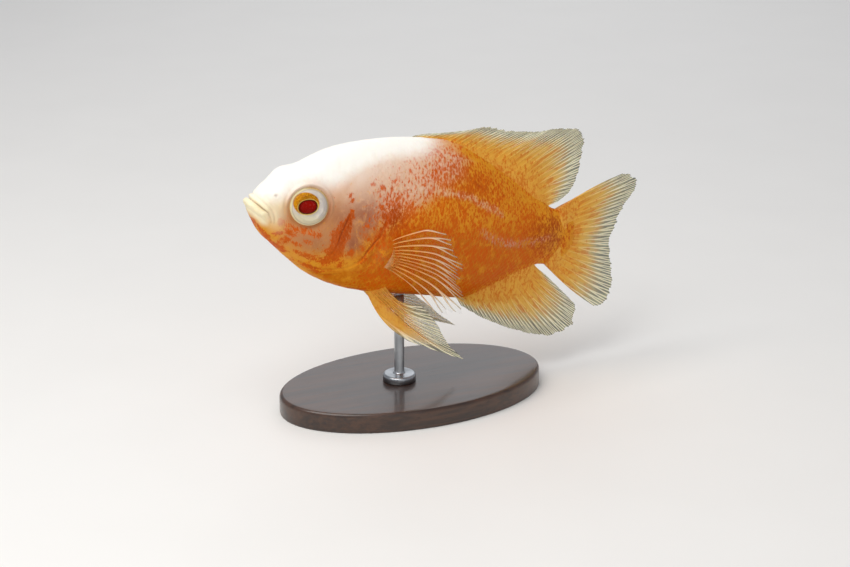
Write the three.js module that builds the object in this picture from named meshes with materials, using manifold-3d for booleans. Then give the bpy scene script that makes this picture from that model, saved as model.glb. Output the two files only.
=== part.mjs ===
import * as THREE from 'three';
import { mergeVertices } from 'three/addons/utils/BufferGeometryUtils.js';
import Module from 'manifold-3d';

// A young red albino oscar at life size, swimming a little head up, on a plain display stand.
// Millimetres. The fish is drawn in a frame of its own: x runs back from the tip of the snout,
// y to the fish's right and z up. The model stands on z = 0 with +Z up and the head towards -X.

const wasm = await Module();
wasm.setup();

// Driving dimensions
const headUp = THREE.MathUtils.degToRad(14.4);
const gap = 0.3;
const tailCut = 98;
const tailRootMiddle = 107.2;
const tailRootEdge = 104.2;
const bendStart = 50;
const bendPerSquare = 0.0007;
const membrane = 0.5;
const rayRise = 0.26;
const raySag = 0.03;
const eye = { x: 16.5, z: 2.3, side: 6.3, radius: 5.9, depth: 3.5, forward: 0.2 };
const nostril = { x: 6.4, z: 3.7, radius: 0.6 };
const base = { length: 84, width: 50, height: 6, edge: 1.2, x: -14 };
const rod = { radius: 1.5, footRadius: 5, footHeight: 2, x: -18 };
const snout = { x: -65.6, z: 69.5 };

// Outlines of the body in side and top view, as [distance from the snout, value]
const backLine = [[-0.6, -0.5], [-0.4, 0.1], [0, 0.7], [0.6, 1.3], [2.3, 3.1], [4, 5.2], [6.2, 7.5],
  [10, 10.5], [15.3, 13.9], [19.7, 16.7], [25.6, 19.8], [33.7, 22.4], [43.4, 24.5], [52, 25.4],
  [60, 24.9], [68, 22.7], [76, 19.6], [84, 15.9], [91, 12.4], [97, 9.8], [103, 8.8], [110, 9]];
const bellyLine = [[-0.6, -1.2], [-0.4, -1.7], [0, -2.2], [1, -3.7], [3.4, -6.2], [5.9, -8.7],
  [9.6, -11.3], [16.3, -15.5], [23.3, -19.2], [30.7, -21.5], [38.2, -22.5], [50, -22.6], [64, -22.2],
  [71, -22.3], [76, -21.3], [82, -18.4], [88, -14.9], [94, -11.2], [99, -9.3], [104, -8.9], [110, -9.1]];
const widthLine = [[-0.6, 0.6], [-0.4, 1.3], [0, 2.1], [1, 3.1], [3, 4.5], [6, 5.8], [10, 7], [15, 8],
  [20, 8.7], [27, 9.3], [34, 9.9], [41, 10.3], [48, 10.4], [56, 10.2], [64, 9.5], [72, 8.4], [80, 7],
  [88, 5.4], [95, 4.1], [101, 3.2], [110, 2.4]];
const middleLine = [[-0.6, -0.8], [10, -1.6], [27, -1], [41, 0], [60, 1.5], [80, 1], [95, 0.2], [110, 0]];

// Lines of the head in side view
const mouthLine = [[-3, 3.2], [0.3, 1.1], [2, -0.2], [4.6, -2.2], [6.3, -4.5]];
const jawRear = [[7.5, -7], [9.2, -9.9], [10.6, -14]];
const gillCover = [[29.2, 8.4], [32.4, 9.3], [35.6, 8.3], [38.6, 4.9], [40.1, 1], [39.6, -2.2],
  [37.9, -5.4], [36.4, -8.6], [35.2, -11.4], [33, -13.4], [29.8, -14.6], [26.2, -14.6], [26.3, -11.4],
  [27.9, -6.2], [28.9, 0], [28.9, 5]];
const neckLine = [[29, 40], [29.8, 21], [33.6, 12], [35, 4], [34, -7], [30.5, -12.6], [24.5, -15.8],
  [20.6, -18], [19, -40]];

// Fins in side view: rays are placed by [share of the way along the fin, root x, tip x, tip z]
const dorsalRays = [[0, 41, 44.5, 25.1], [0.1, 47, 53.5, 26.6], [0.2, 53, 62.5, 28.6],
  [0.3, 59.5, 71, 31.4], [0.4, 66, 79.5, 31], [0.5, 71.5, 88, 31.6], [0.6, 76.5, 95.5, 33.8],
  [0.7, 81.5, 103.2, 34.3], [0.8, 86.5, 107.3, 29], [0.88, 90.5, 107, 20.5], [0.94, 94, 105.4, 14.4],
  [1, 97.5, 102, 11.2]];
const analRays = [[0, 73.5, 77.5, -24.8], [0.1, 76.5, 83.5, -27.2], [0.2, 79.5, 90, -29],
  [0.35, 83.5, 99, -31], [0.5, 87, 107.5, -32], [0.62, 89.8, 114.3, -30.8], [0.74, 92.3, 119.6, -27],
  [0.84, 94.3, 119.6, -22.6], [0.92, 96, 113.6, -17.9], [1, 97.8, 104.4, -12.2]];
const tailTips = [[0, 124.5, 22.4], [0.07, 128.5, 21.8], [0.14, 131.4, 19.6], [0.25, 130.4, 14.6],
  [0.38, 128.6, 8.2], [0.5, 127.6, 1.4], [0.62, 129, -4.6], [0.75, 131.2, -10.4], [0.86, 132.2, -15.6],
  [0.93, 130.6, -19.4], [1, 126.6, -21.4]];

const finish = (name, color, roughness, metalness = 0) =>
  new THREE.MeshStandardMaterial({ name, color, roughness, metalness });
const whiteSkin = finish('pale_skin', 0xf3dccb, 0.45);
const orangeSkin = finish('orange_skin', 0xe58a4a, 0.45);
const finSkin = finish('fin_skin', 0xdcae62, 0.5);
const eyeSkin = finish('eye', 0xe9dcc8, 0.15);
const darkWood = finish('wood', 0x3a2a20, 0.45);
const steel = finish('steel', 0xb9bcc0, 0.3, 1);

// Smooth curve through [x, value] points that never overshoots them
function profile(points, column = 1) {
  const xs = points.map((p) => p[0]);
  const ys = points.map((p) => p[column]);
  const last = xs.length - 1;
  const steps = xs.slice(1).map((x, i) => (ys[i + 1] - ys[i]) / (x - xs[i]));
  const slope = xs.map((_, i) => {
    if (i === 0) return steps[0];
    if (i === last) return steps[last - 1];
    const [a, b] = [steps[i - 1], steps[i]];
    return a * b <= 0 ? 0 : (2 * a * b) / (a + b);
  });
  return (x) => {
    const i = segment(xs, x);
    const h = xs[i + 1] - xs[i];
    const t = Math.max(0, Math.min(1, (x - xs[i]) / h));
    return (ys[i] * (1 + 2 * t) * (1 - t) ** 2 + h * slope[i] * t * (1 - t) ** 2
      + ys[i + 1] * t * t * (3 - 2 * t) - h * slope[i + 1] * t * t * (1 - t));
  };
}

function segment(xs, x) {
  let i = 0;
  while (i < xs.length - 2 && x > xs[i + 1]) i += 1;
  return i;
}

const backAt = profile(backLine);
const bellyAt = profile(bellyLine);
const widthAt = profile(widthLine);
const middleAt = profile(middleLine);
const topPower = profile([[0, 2.1], [10, 2.35], [26, 2.2], [45, 1.85], [110, 1.9]]);
const bottomPower = profile([[0, 2.1], [20, 1.95], [45, 2.1], [75, 1.85], [110, 1.9]]);

// Numbers from a to b in steps of about the given size
function stations(a, b, step) {
  const count = Math.max(1, Math.round((b - a) / step));
  return Array.from({ length: count + 1 }, (_, i) => a + ((b - a) * i) / count);
}

function geometryOf(vertices, triangles) {
  const geometry = new THREE.BufferGeometry();
  geometry.setAttribute('position', new THREE.Float32BufferAttribute(vertices.flat(), 3));
  geometry.setIndex(triangles.flat());
  return geometry;
}

// Closed tube through rings of equally many points, with a fan at each end
function loft(rings) {
  const n = rings[0].length;
  const vertices = rings.flat();
  const triangles = [];
  for (let i = 0; i < rings.length - 1; i += 1) {
    for (let k = 0; k < n; k += 1) {
      const a = i * n + k;
      const b = i * n + ((k + 1) % n);
      triangles.push([a, b, a + n], [b, b + n, a + n]);
    }
  }
  [0, rings.length - 1].forEach((i, end) => {
    const ring = rings[i];
    const centre = [0, 1, 2].map((c) => ring.reduce((sum, p) => sum + p[c], 0) / n);
    vertices.push(centre);
    for (let k = 0; k < n; k += 1) {
      const a = i * n + k;
      const b = i * n + ((k + 1) % n);
      triangles.push(end ? [a, b, vertices.length - 1] : [b, a, vertices.length - 1]);
    }
  });
  return geometryOf(vertices, triangles);
}

// Section of the body at x: a rounded oval with its own squareness above and below,
// swollen outwards by the given amount, plus relief(x, z) where there is one
function bodyRing(x, count, swell, relief) {
  const middle = middleAt(x);
  return Array.from({ length: count }, (_, k) => {
    const turn = (2 * Math.PI * k) / count;
    const [c, s] = [Math.cos(turn), Math.sin(turn)];
    const height = c > 0 ? backAt(x) - middle : middle - bellyAt(x);
    const power = c > 0 ? topPower(x) : bottomPower(x);
    const width = widthAt(x);
    const y = width * Math.sign(s) * Math.abs(s) ** (2 / power);
    const z = middle + height * Math.sign(c) * Math.abs(c) ** (2 / power);
    const ny = (Math.sign(s) * Math.abs(s) ** (2 - 2 / power)) / width;
    const nz = (Math.sign(c) * Math.abs(c) ** (2 - 2 / power)) / height;
    const move = (swell + (relief ? relief(x, z) : 0)) / Math.hypot(ny, nz);
    return [x, y + ny * move, z + nz * move];
  });
}

// Distance out from the middle plane to the flank at (x, z)
function flankAt(x, z) {
  const above = z > middleAt(x);
  const height = above ? backAt(x) - middleAt(x) : middleAt(x) - bellyAt(x);
  const power = above ? topPower(x) : bottomPower(x);
  const share = Math.min(1, Math.abs((z - middleAt(x)) / height));
  return widthAt(x) * (1 - share ** power) ** (1 / power);
}

function distanceTo(line, x, z) {
  let best = Infinity;
  for (let i = 0; i < line.length - 1; i += 1) {
    const [ax, az] = line[i];
    const [dx, dz] = [line[i + 1][0] - ax, line[i + 1][1] - az];
    const t = Math.max(0, Math.min(1, ((x - ax) * dx + (z - az) * dz) / (dx * dx + dz * dz)));
    best = Math.min(best, Math.hypot(x - ax - t * dx, z - az - t * dz));
  }
  return best;
}

const hump = (distance, width) => Math.exp(-((distance / width) ** 2));

// Rise of the head's surface over the plain body: lips, brow, rim of the eye and cheek
function headRelief(x, z) {
  const fromMouth = distanceTo(mouthLine.slice(1), x, z);
  const lips = 0.55 * hump(fromMouth - 1, 0.75);
  const brow = 1 * hump(x - 14.6, 4) * hump(z - 9.2, 1.7);
  const rim = 0.45 * hump(Math.hypot(x - eye.x, z - eye.z) - eye.radius - 0.5, 0.9);
  const cheek = 0.6 * hump(x - 20, 5) * hump(z + 8.5, 4);
  return lips + brow + rim + cheek;
}

function solid(geometry) {
  const bare = geometry.clone();
  Object.keys(bare.attributes).forEach((key) => key !== 'position' && bare.deleteAttribute(key));
  const merged = mergeVertices(bare, 1e-4);
  const p = merged.attributes.position.array;
  const index = Uint32Array.from(merged.index.array);
  let volume = 0;
  for (let i = 0; i < index.length; i += 3) {
    const [a, b, c] = [0, 1, 2].map((k) => new THREE.Vector3().fromArray(p, 3 * index[i + k]));
    volume += a.dot(b.cross(c));
  }
  if (volume < 0) {
    for (let i = 0; i < index.length; i += 3) [index[i], index[i + 1]] = [index[i + 1], index[i]];
  }
  const vertProperties = Float32Array.from(p);
  return new wasm.Manifold(new wasm.Mesh({ numProp: 3, vertProperties, triVerts: index }));
}

function bodySolid(places, count, swell = 0, relief = null) {
  return solid(loft(places.map((x) => bodyRing(x, count, swell, relief))));
}

// Solid behind a side-view outline, from y = near to y = far
function prism(outline, near = -30, far = 30) {
  const shape = new THREE.Shape(outline.map(([x, z]) => new THREE.Vector2(x, z)));
  const block = new THREE.ExtrudeGeometry(shape, { depth: far - near, bevelEnabled: false });
  return solid(block.rotateX(Math.PI / 2).translate(0, far, 0));
}

// The closed outline made smooth
function smoothOutline(points, count) {
  const curve = new THREE.SplineCurve([...points, points[0]].map(([x, z]) => new THREE.Vector2(x, z)));
  return curve.getPoints(count).slice(0, -1).map((p) => [p.x, p.y]);
}

// The open line made smooth
function smoothOpen(points) {
  const curve = new THREE.SplineCurve(points.map(([x, z]) => new THREE.Vector2(x, z)));
  return curve.getPoints(14).map((p) => [p.x, p.y]);
}

// The line moved sideways: to the right of its own direction for a positive distance
function shifted(line, distance, closed = false) {
  const n = line.length;
  return line.map(([x, z], i) => {
    const before = line[closed ? (i + n - 1) % n : Math.max(0, i - 1)];
    const after = line[closed ? (i + 1) % n : Math.min(n - 1, i + 1)];
    const [dx, dz] = [after[0] - before[0], after[1] - before[1]];
    const length = Math.hypot(dx, dz);
    return [x + (distance * dz) / length, z - (distance * dx) / length];
  });
}

function ellipsoid(centre, radii, turn, segments = [24, 14]) {
  const ball = new THREE.SphereGeometry(1, ...segments).scale(...radii);
  return solid(ball.rotateZ(turn).translate(...centre));
}

// Thin closed sheet over a grid of columns and rows. place(column, row) gives the middle of the
// sheet, lean(column, row) the direction of its thickness. Both faces are split alike.
function sheet(columns, rows, place, lean, thickness) {
  const faces = [1, -1].map((side) => columns.map((column) => rows.map((row) => {
    const offset = lean(column, row).clone().multiplyScalar((side * thickness(column, row)) / 2);
    return place(column, row).clone().add(offset).toArray();
  })));
  const n = rows.length;
  const m = columns.length;
  const vertices = faces.flat(2);
  const at = (face, i, j) => face * m * n + i * n + j;
  const triangles = [];
  for (let i = 0; i < m - 1; i += 1) {
    for (let j = 0; j < n - 1; j += 1) {
      triangles.push([at(0, i, j), at(0, i + 1, j), at(0, i + 1, j + 1)]);
      triangles.push([at(0, i, j), at(0, i + 1, j + 1), at(0, i, j + 1)]);
      triangles.push([at(1, i, j), at(1, i + 1, j + 1), at(1, i + 1, j)]);
      triangles.push([at(1, i, j), at(1, i, j + 1), at(1, i + 1, j + 1)]);
    }
  }
  const border = [];
  for (let i = 0; i < m - 1; i += 1) border.push([i, 0]);
  for (let j = 0; j < n - 1; j += 1) border.push([m - 1, j]);
  for (let i = m - 1; i > 0; i -= 1) border.push([i, n - 1]);
  for (let j = n - 1; j > 0; j -= 1) border.push([0, j]);
  border.forEach(([i, j], k) => {
    const [p, q] = border[(k + 1) % border.length];
    triangles.push([at(0, i, j), at(1, i, j), at(0, p, q)], [at(1, i, j), at(1, p, q), at(0, p, q)]);
  });
  return solid(geometryOf(vertices, triangles));
}

const finRows = stations(0, 1, 0.25);

// Columns of a fin: the crest of each ray with the foot of its ridge on either side
function finColumns(rayCount, footShare = 0.2) {
  const step = 1 / (rayCount - 1);
  const columns = [];
  for (let k = 0; k < rayCount; k += 1) {
    if (k > 0) columns.push({ t: (k - footShare) * step, crest: false });
    columns.push({ t: k * step, crest: true });
    if (k < rayCount - 1) columns.push({ t: (k + footShare) * step, crest: false });
  }
  return columns;
}

// Thickness of a fin from a stout root to a fine edge, with the rays raised on both faces
function finThickness(rootThickness, edge = 0.6) {
  return (column, row) => {
    const root = (rootThickness - membrane) * Math.max(0, 1 - row * 2.2) ** 2;
    const taper = 1 - (1 - edge) * Math.max(0, (row - 0.75) / 0.25);
    return (membrane + root + (column.crest ? 2 * rayRise : 0)) * taper;
  };
}

function largest(body) {
  return body.decompose().sort((a, b) => b.volume() - a.volume())[0];
}

// The rear of the fish swings gently to its right
function bent(geometry) {
  const p = geometry.attributes.position;
  for (let i = 0; i < p.count; i += 1) {
    p.setY(i, p.getY(i) + bendPerSquare * Math.max(0, p.getX(i) - bendStart) ** 2);
  }
  return geometry;
}

function piece(parent, name, body, material) {
  const { vertProperties, triVerts } = largest(body).getMesh();
  const geometry = new THREE.BufferGeometry();
  geometry.setAttribute('position', new THREE.BufferAttribute(Float32Array.from(vertProperties), 3));
  geometry.setIndex(new THREE.BufferAttribute(Uint32Array.from(triVerts), 1));
  if (parent === fish) bent(geometry);
  geometry.computeVertexNormals();
  const mesh = new THREE.Mesh(geometry, material);
  mesh.name = name;
  parent.add(mesh);
}

const model = new THREE.Group();
const fish = new THREE.Group();
fish.rotation.y = headUp;
fish.position.set(snout.x, 0, snout.z);
model.add(fish);

const bodyWithGap = bodySolid(stations(15, 110, 3.4), 38, gap);

function addHeadAndTrunk() {
  const mouth = smoothOpen(mouthLine);
  const jawEdge = [...mouth, ...jawRear];
  const jawRegion = (distance) => prism([...shifted(jawEdge, distance), [-3, -14]]);
  const headRegion = prism([...neckLine, [-20, -40], [-20, 40]]);
  const trunkRegion = prism([...shifted(neckLine, -gap), [120, -40], [120, 40]]);
  const cover = smoothOutline(gillCover, 48);
  const coverPlaces = stations(20, 46, 2);
  const inner = bodySolid(coverPlaces, 40, -1.5);
  const pocket = prism(shifted(cover, -gap, true)).subtract(inner);
  const fromSnout = stations(0, 1, 0.03).map((share) => -0.6 + 37.6 * share ** 1.5);
  const flesh = bodySolid(fromSnout, 40, 0, headRelief);
  let head = flesh.intersect(headRegion).subtract(pocket).subtract(jawRegion(-gap / 2));
  [-1, 1].forEach((side) => {
    const pit = [nostril.x, side * flankAt(nostril.x, nostril.z), nostril.z];
    const hole = ellipsoid(pit, Array(3).fill(nostril.radius), 0, [8, 6]);
    head = head.subtract(eyeball(side, gap)).subtract(hole);
  });
  piece(fish, 'head', head, whiteSkin);
  piece(fish, 'lower_jaw', flesh.intersect(jawRegion(gap / 2)), whiteSkin);
  const plate = bodySolid(coverPlaces, 40, 0.5).subtract(bodySolid(stations(19, 47, 2), 40, -1.2));
  piece(fish, 'gill_cover_left', plate.intersect(prism(cover, -30, -1)), whiteSkin);
  piece(fish, 'gill_cover_right', plate.intersect(prism(cover, 1, 30)), whiteSkin);
  const trunk = bodySolid(stations(15, tailCut, 3.4), 38).intersect(trunkRegion).subtract(pocket);
  piece(fish, 'trunk', trunk, orangeSkin);
}

// An eye faces out and a little forwards, a flattened ball
function eyeball(side, swell) {
  const radii = [eye.radius + swell, eye.depth + swell, eye.radius + swell];
  return ellipsoid([eye.x, side * eye.side, eye.z], radii, side * eye.forward, [24, 12]);
}

// Rear edge of the tail's root, an arc in side view at the given distance behind it
function tailRootX(z) {
  return tailRootMiddle - (tailRootMiddle - tailRootEdge) * (z / 9) ** 2;
}

function addTailStalk() {
  const arc = stations(10, -10, -2).map((z) => [tailRootX(z), z]);
  const region = prism([...arc, [tailCut + gap, -10], [tailCut + gap, 10]]);
  piece(fish, 'tail_stalk', bodySolid(stations(tailCut, 110, 3), 40).intersect(region), orangeSkin);
}

// A fin in the middle plane, its rays set on the back or the belly
function medianFin(name, rays, rayCount, edgeAt, rootThickness, notch) {
  const rootX = profile(rays, 1);
  const tipX = profile(rays, 2);
  const tipZ = profile(rays, 3);
  const inside = Math.sign(edgeAt(80)) * -1.2;
  const place = (column, row) => {
    const x0 = rootX(column.t);
    const reach = row * (column.crest ? 1 : 1 - notch);
    const z0 = edgeAt(x0) + inside;
    const sag = raySag * (tipX(column.t) - x0) * Math.sin(Math.PI * reach) * Math.sign(z0);
    return new THREE.Vector3(x0 + (tipX(column.t) - x0) * reach, 0, z0 + (tipZ(column.t) - z0) * reach + sag);
  };
  const lean = () => new THREE.Vector3(0, 1, 0);
  const fin = sheet(finColumns(rayCount), finRows, place, lean, finThickness(rootThickness));
  piece(fish, name, fin.subtract(bodyWithGap), finSkin);
}

function addTailFin() {
  const tipX = profile(tailTips, 1);
  const tipZ = profile(tailTips, 2);
  const rootTop = 8.6;
  const rootBottom = -8.7;
  const cup = 2.4;
  const place = (column, row) => {
    const z0 = rootTop + (rootBottom - rootTop) * column.t;
    const x0 = tailRootX(z0) + gap;
    const reach = row * (column.crest ? 1 : 0.96);
    const y = cup * Math.sin(Math.PI * column.t) * reach ** 2;
    const bow = 0.9 * (1 - 2 * column.t) * Math.sin(Math.PI * reach);
    return new THREE.Vector3(x0 + (tipX(column.t) - x0) * reach, y, z0 + (tipZ(column.t) - z0) * reach + bow);
  };
  const lean = () => new THREE.Vector3(0, 1, 0);
  const fin = sheet(finColumns(17), finRows, place, lean, finThickness(2.6));
  piece(fish, 'tail_fin', fin, finSkin);
}

// A paired fin: rays from a short root line to their tips, bowed by the given vector
function pairedFin(name, side, root, tips, rayCount, bow, rootThickness) {
  const rootAt = [1, 2, 3].map((c) => profile(root, c));
  const tipAt = [1, 2, 3].map((c) => profile(tips, c));
  const point = (curve, t) => new THREE.Vector3(curve[0](t), side * curve[1](t), curve[2](t));
  const bowed = new THREE.Vector3(bow[0], side * bow[1], bow[2]);
  const place = (column, row) => {
    const reach = row * (column.crest ? 1 : 0.95);
    const middle = point(rootAt, column.t).lerp(point(tipAt, column.t), reach);
    return middle.addScaledVector(bowed, Math.sin(Math.PI * reach));
  };
  const across = point(rootAt, 1).sub(point(rootAt, 0));
  const along = point(tipAt, 0.5).sub(point(rootAt, 0.5));
  const normal = across.cross(along).normalize();
  const fin = sheet(finColumns(rayCount), finRows, place, () => normal, finThickness(rootThickness));
  piece(fish, name, fin.subtract(bodyWithGap), finSkin);
}

function addPairedFins() {
  const pectoralRoot = [[0, 41.6, 8.8, -5.6], [0.5, 43.6, 8.8, -9], [1, 43.4, 8.2, -12.4]];
  const pectoralTips = [[0, 57.3, 16, 3.4], [0.12, 60.8, 16.4, -0.6], [0.25, 63.6, 16.8, -5.6],
    [0.5, 66, 17, -12], [0.75, 67.8, 16, -17.6], [0.88, 66.6, 15, -22.4], [1, 62.5, 13, -24.6]];
  const pelvicRoot = [[0, 42, 2.6, -21.4], [1, 47, 4.6, -19.2]];
  const leftPelvicTips = [[0, 57, 8.8, -34.6], [0.2, 76.3, 11, -38.2], [0.4, 70.4, 10, -34.4],
    [0.6, 67.6, 9.2, -31.6], [0.8, 64.6, 8.3, -27.6], [1, 59, 7.4, -23.6]];
  const rightPelvicTips = [[0, 61, 7, -30.8], [0.2, 82, 8.6, -33.6], [0.4, 75, 8.2, -30.4],
    [0.6, 70.5, 7.8, -28], [0.8, 66, 7.6, -25.4], [1, 60, 7.4, -22.4]];
  pairedFin('pectoral_fin_left', -1, pectoralRoot, pectoralTips, 14, [0, 1.2, 1.4], 1.8);
  pairedFin('pectoral_fin_right', 1, pectoralRoot, pectoralTips, 14, [0, 1.2, 1.4], 1.8);
  pairedFin('pelvic_fin_left', -1, pelvicRoot, leftPelvicTips, 6, [-1.2, 0.6, -1.6], 1.8);
  pairedFin('pelvic_fin_right', 1, pelvicRoot, rightPelvicTips, 6, [-1, 0.6, -1.2], 1.8);
}

function addEyes() {
  piece(fish, 'eye_left', eyeball(-1, 0), eyeSkin);
  piece(fish, 'eye_right', eyeball(1, 0), eyeSkin);
}

// Solid of revolution about Z from [radius, height] points
function turned(section, sides) {
  const points = section.map(([r, z]) => new THREE.Vector2(r, z));
  return new THREE.LatheGeometry(points, sides).rotateX(Math.PI / 2);
}

// Stand: an oval wooden base and one steel rod with a flat foot, up to the belly
function addStand() {
  const e = base.edge;
  const half = base.length / 2;
  const rounded = [Math.PI / 2, Math.PI / 4, 0];
  const rim = rounded.map((a) => [half - e + e * Math.sin(a), base.height - e + e * Math.cos(a)]);
  const disc = turned([[0, 0], [half, 0], ...rim, [0, base.height]], 48);
  disc.scale(1, base.width / base.length, 1).translate(base.x, 0, 0);
  piece(model, 'stand_base', solid(disc), darkWood);
  const start = base.height + gap;
  const foot = start + rod.footHeight;
  const bevel = 0.8;
  const footRim = [[rod.footRadius, start], [rod.footRadius, foot - bevel], [rod.footRadius - bevel, foot]];
  const post = turned([[0, start], ...footRim, [rod.radius, foot], [rod.radius, snout.z], [0, snout.z]], 20);
  fish.updateMatrixWorld(true);
  const rings = stations(30, 80, 2).map((x) => bodyRing(x, 44, gap, null));
  const belly = solid(loft(rings).applyMatrix4(fish.matrixWorld));
  piece(model, 'stand_rod', solid(post.translate(rod.x, 0, 0)).subtract(belly), steel);
}

addHeadAndTrunk();
addTailStalk();
addEyes();
medianFin('dorsal_fin', dorsalRays, 33, backAt, 2, 0.03);
medianFin('anal_fin', analRays, 19, bellyAt, 2, 0.03);
addTailFin();
addPairedFins();
addStand();

export default model;
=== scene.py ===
"""The looks of a young red albino oscar at life size, swimming on a plain display stand.

Surfaces are worked out in millimetres in a frame of the fish's own: x runs back from the tip
of the snout, y to the fish's right and z up. to_model() puts them in the model's frame, in metres.
"""

import math

import bpy
import numpy as np
from bpy.props import FloatProperty, FloatVectorProperty, IntProperty, PointerProperty
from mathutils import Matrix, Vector


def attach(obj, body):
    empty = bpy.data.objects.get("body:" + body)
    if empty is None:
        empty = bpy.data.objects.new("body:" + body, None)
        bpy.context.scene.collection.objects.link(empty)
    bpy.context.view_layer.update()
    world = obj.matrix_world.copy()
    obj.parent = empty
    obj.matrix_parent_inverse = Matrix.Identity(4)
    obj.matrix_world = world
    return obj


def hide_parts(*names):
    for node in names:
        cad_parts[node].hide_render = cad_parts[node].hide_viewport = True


bl_info = {
    "name": "Oscar display model",
    "version": (1, 0, 0),
    "blender": (4, 5, 0),
    "location": "View3D > Sidebar > Oscar",
    "description": "Skin, eyes, fins and stand of a young red albino oscar",
    "category": "Object",
}

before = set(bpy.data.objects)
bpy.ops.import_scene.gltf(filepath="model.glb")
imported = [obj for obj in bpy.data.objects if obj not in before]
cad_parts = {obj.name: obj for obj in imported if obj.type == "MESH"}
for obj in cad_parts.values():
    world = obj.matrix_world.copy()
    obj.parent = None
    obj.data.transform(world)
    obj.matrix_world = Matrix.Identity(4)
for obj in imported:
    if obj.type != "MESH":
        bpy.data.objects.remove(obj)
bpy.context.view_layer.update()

MM = 0.001

# The pose: tilt of the fish, where the tip of the snout is, and the bend of the tail
HEAD_UP = math.radians(14.4)
SNOUT = (-65.6, 69.5)
BEND_START = 50.0
BEND = 0.0007

# The body in side and top view, as [distance from the snout, value]: its outlines, half width,
# the height of its widest place and the powers of its section above and below that
BACK = [
    [-0.6, -0.5], [-0.4, 0.1], [0, 0.7], [0.6, 1.3], [2.3, 3.1], [4.1, 5.4], [5.8, 7.4], [6.8, 9],
    [8, 10.4], [9.5, 11.3], [11.2, 11.8], [12.6, 12.2], [14, 13], [16.6, 14.9], [19.8, 17],
    [23, 18.7], [26.3, 20.1], [33.7, 22.4], [43.4, 24.5], [52, 25.4], [60, 24.9],
    [68, 22.7], [76, 19.6], [84, 15.9], [91, 12.4], [97, 9.8], [103, 8.8], [110, 9],
]
BELLY = [
    [-0.6, -1.2], [-0.4, -1.7], [0, -2.2], [1, -3.7], [3.4, -6.2], [5.9, -8.7], [9.6, -11.3],
    [16.3, -15.5], [23.3, -19.2], [30.7, -21.5], [38.2, -22.5], [50, -22.6], [64, -22.2],
    [71, -22.3], [76, -21.3], [82, -18.4], [88, -14.9], [94, -11.2], [99, -9.3], [104, -8.9],
    [110, -9.1],
]
HALF_WIDTH = [
    [-0.6, 0.6], [-0.4, 1.3], [0, 2.1], [1, 3.1], [3, 4.5], [6, 5.8], [10, 7], [15, 8], [20, 8.7],
    [27, 9.3], [34, 9.9], [41, 10.3], [48, 10.4], [56, 10.2], [64, 9.5], [72, 8.4], [80, 7],
    [88, 5.4], [95, 4.1], [101, 3.2], [110, 2.4],
]
MIDDLE = [[-0.6, -0.8], [10, -1.6], [27, -1], [41, 0], [60, 1.5], [80, 1], [95, 0.2], [110, 0]]
TOP_POWER = [[0, 2.1], [10, 2.35], [26, 2.2], [45, 1.85], [110, 1.9]]
BOTTOM_POWER = [[0, 2.1], [20, 1.95], [45, 2.1], [75, 1.85], [110, 1.9]]

# Lines of the head and flank in side view
MOUTH = [[-3, 2.5], [-0.2, 1], [1.2, 0.3], [3.2, -0.7], [4.7, -1.3], [5.9, -2.2]]
MOUTH_CORNER = [[4.9, -1.5], [6.1, -3], [6.6, -4.6]]
UPPER_LIP = [[0.6, 2.6], [2.8, 1.6], [4.8, 0.4], [6.5, -1.5], [7.2, -3.5], [7.2, -5.2]]
LOWER_LIP = [[-2, -0.4], [-0.8, -1.3], [1.3, -2.3], [3.7, -3.3], [5.9, -4.4]]
CHEEK_FOLD = [[3.2, 3.4], [6.4, 1.7], [9, -0.8], [10.4, -3.8], [10.4, -6.6]]
JAW_FOLD = [[5.4, -6], [7.2, -8.2], [9.6, -10.2]]
PREOPERCLE = [
    [28.9, 3.4], [28.3, 0.8], [27.7, -2], [27.2, -4.8], [27.1, -7.6], [26.2, -10.4], [23.8, -12.4],
    [20.5, -13.2],
]
GILL_EDGE = [
    [32.6, 10.6], [36.4, 8.6], [39.2, 4.6], [40.3, 0.6], [39.7, -2.4], [38, -5.4], [36.5, -8.4],
    [35.4, -11.4], [33, -13.8], [29.8, -15.2], [25.8, -16.2], [21.5, -15.8], [17.3, -14.4],
    [14, -12.6],
]
THROAT_FOLDS = [
    [[31.6, -16.2], [27, -18], [22, -17.4], [17, -15.6]],
    [[29, -12.6], [25, -14.6], [20.6, -14.2], [16.4, -12.4]],
]
UPPER_LINE = [
    [35, 9.4], [38, 10.6], [45.8, 11.4], [52.9, 11.8], [60.6, 11.6], [68.7, 10.4], [74.9, 8.5],
    [80, 6.6], [86, 4.8],
]
LOWER_LINE = [
    [70, 2.6], [78, -0.6], [83.2, -2.2], [88.7, -2], [94.4, -1.2], [100.7, 0.2], [106, 0.4],
]
# The two lateral lines, as [line, half width of its pale band, strength of that band]
LATERAL_LINES = [[UPPER_LINE, 1.4, 0.5], [LOWER_LINE, 1.8, 0.3]]
# Grooves of the head, as [line, depth, half width, height of its banks as a share of the depth]
FOLDS = [
    [MOUTH_CORNER, 0.24, 0.36, 0.5], [UPPER_LIP, 0.2, 0.4, 0.5], [LOWER_LIP, 0.12, 0.45, 0.5],
    [CHEEK_FOLD, 0.14, 0.6, 0.5], [JAW_FOLD, 0.15, 0.5, 0.5], [PREOPERCLE, 0.2, 0.26, 0.5],
    [THROAT_FOLDS[0], 0.09, 0.4, 0.2], [THROAT_FOLDS[1], 0.09, 0.4, 0.2],
]

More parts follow.
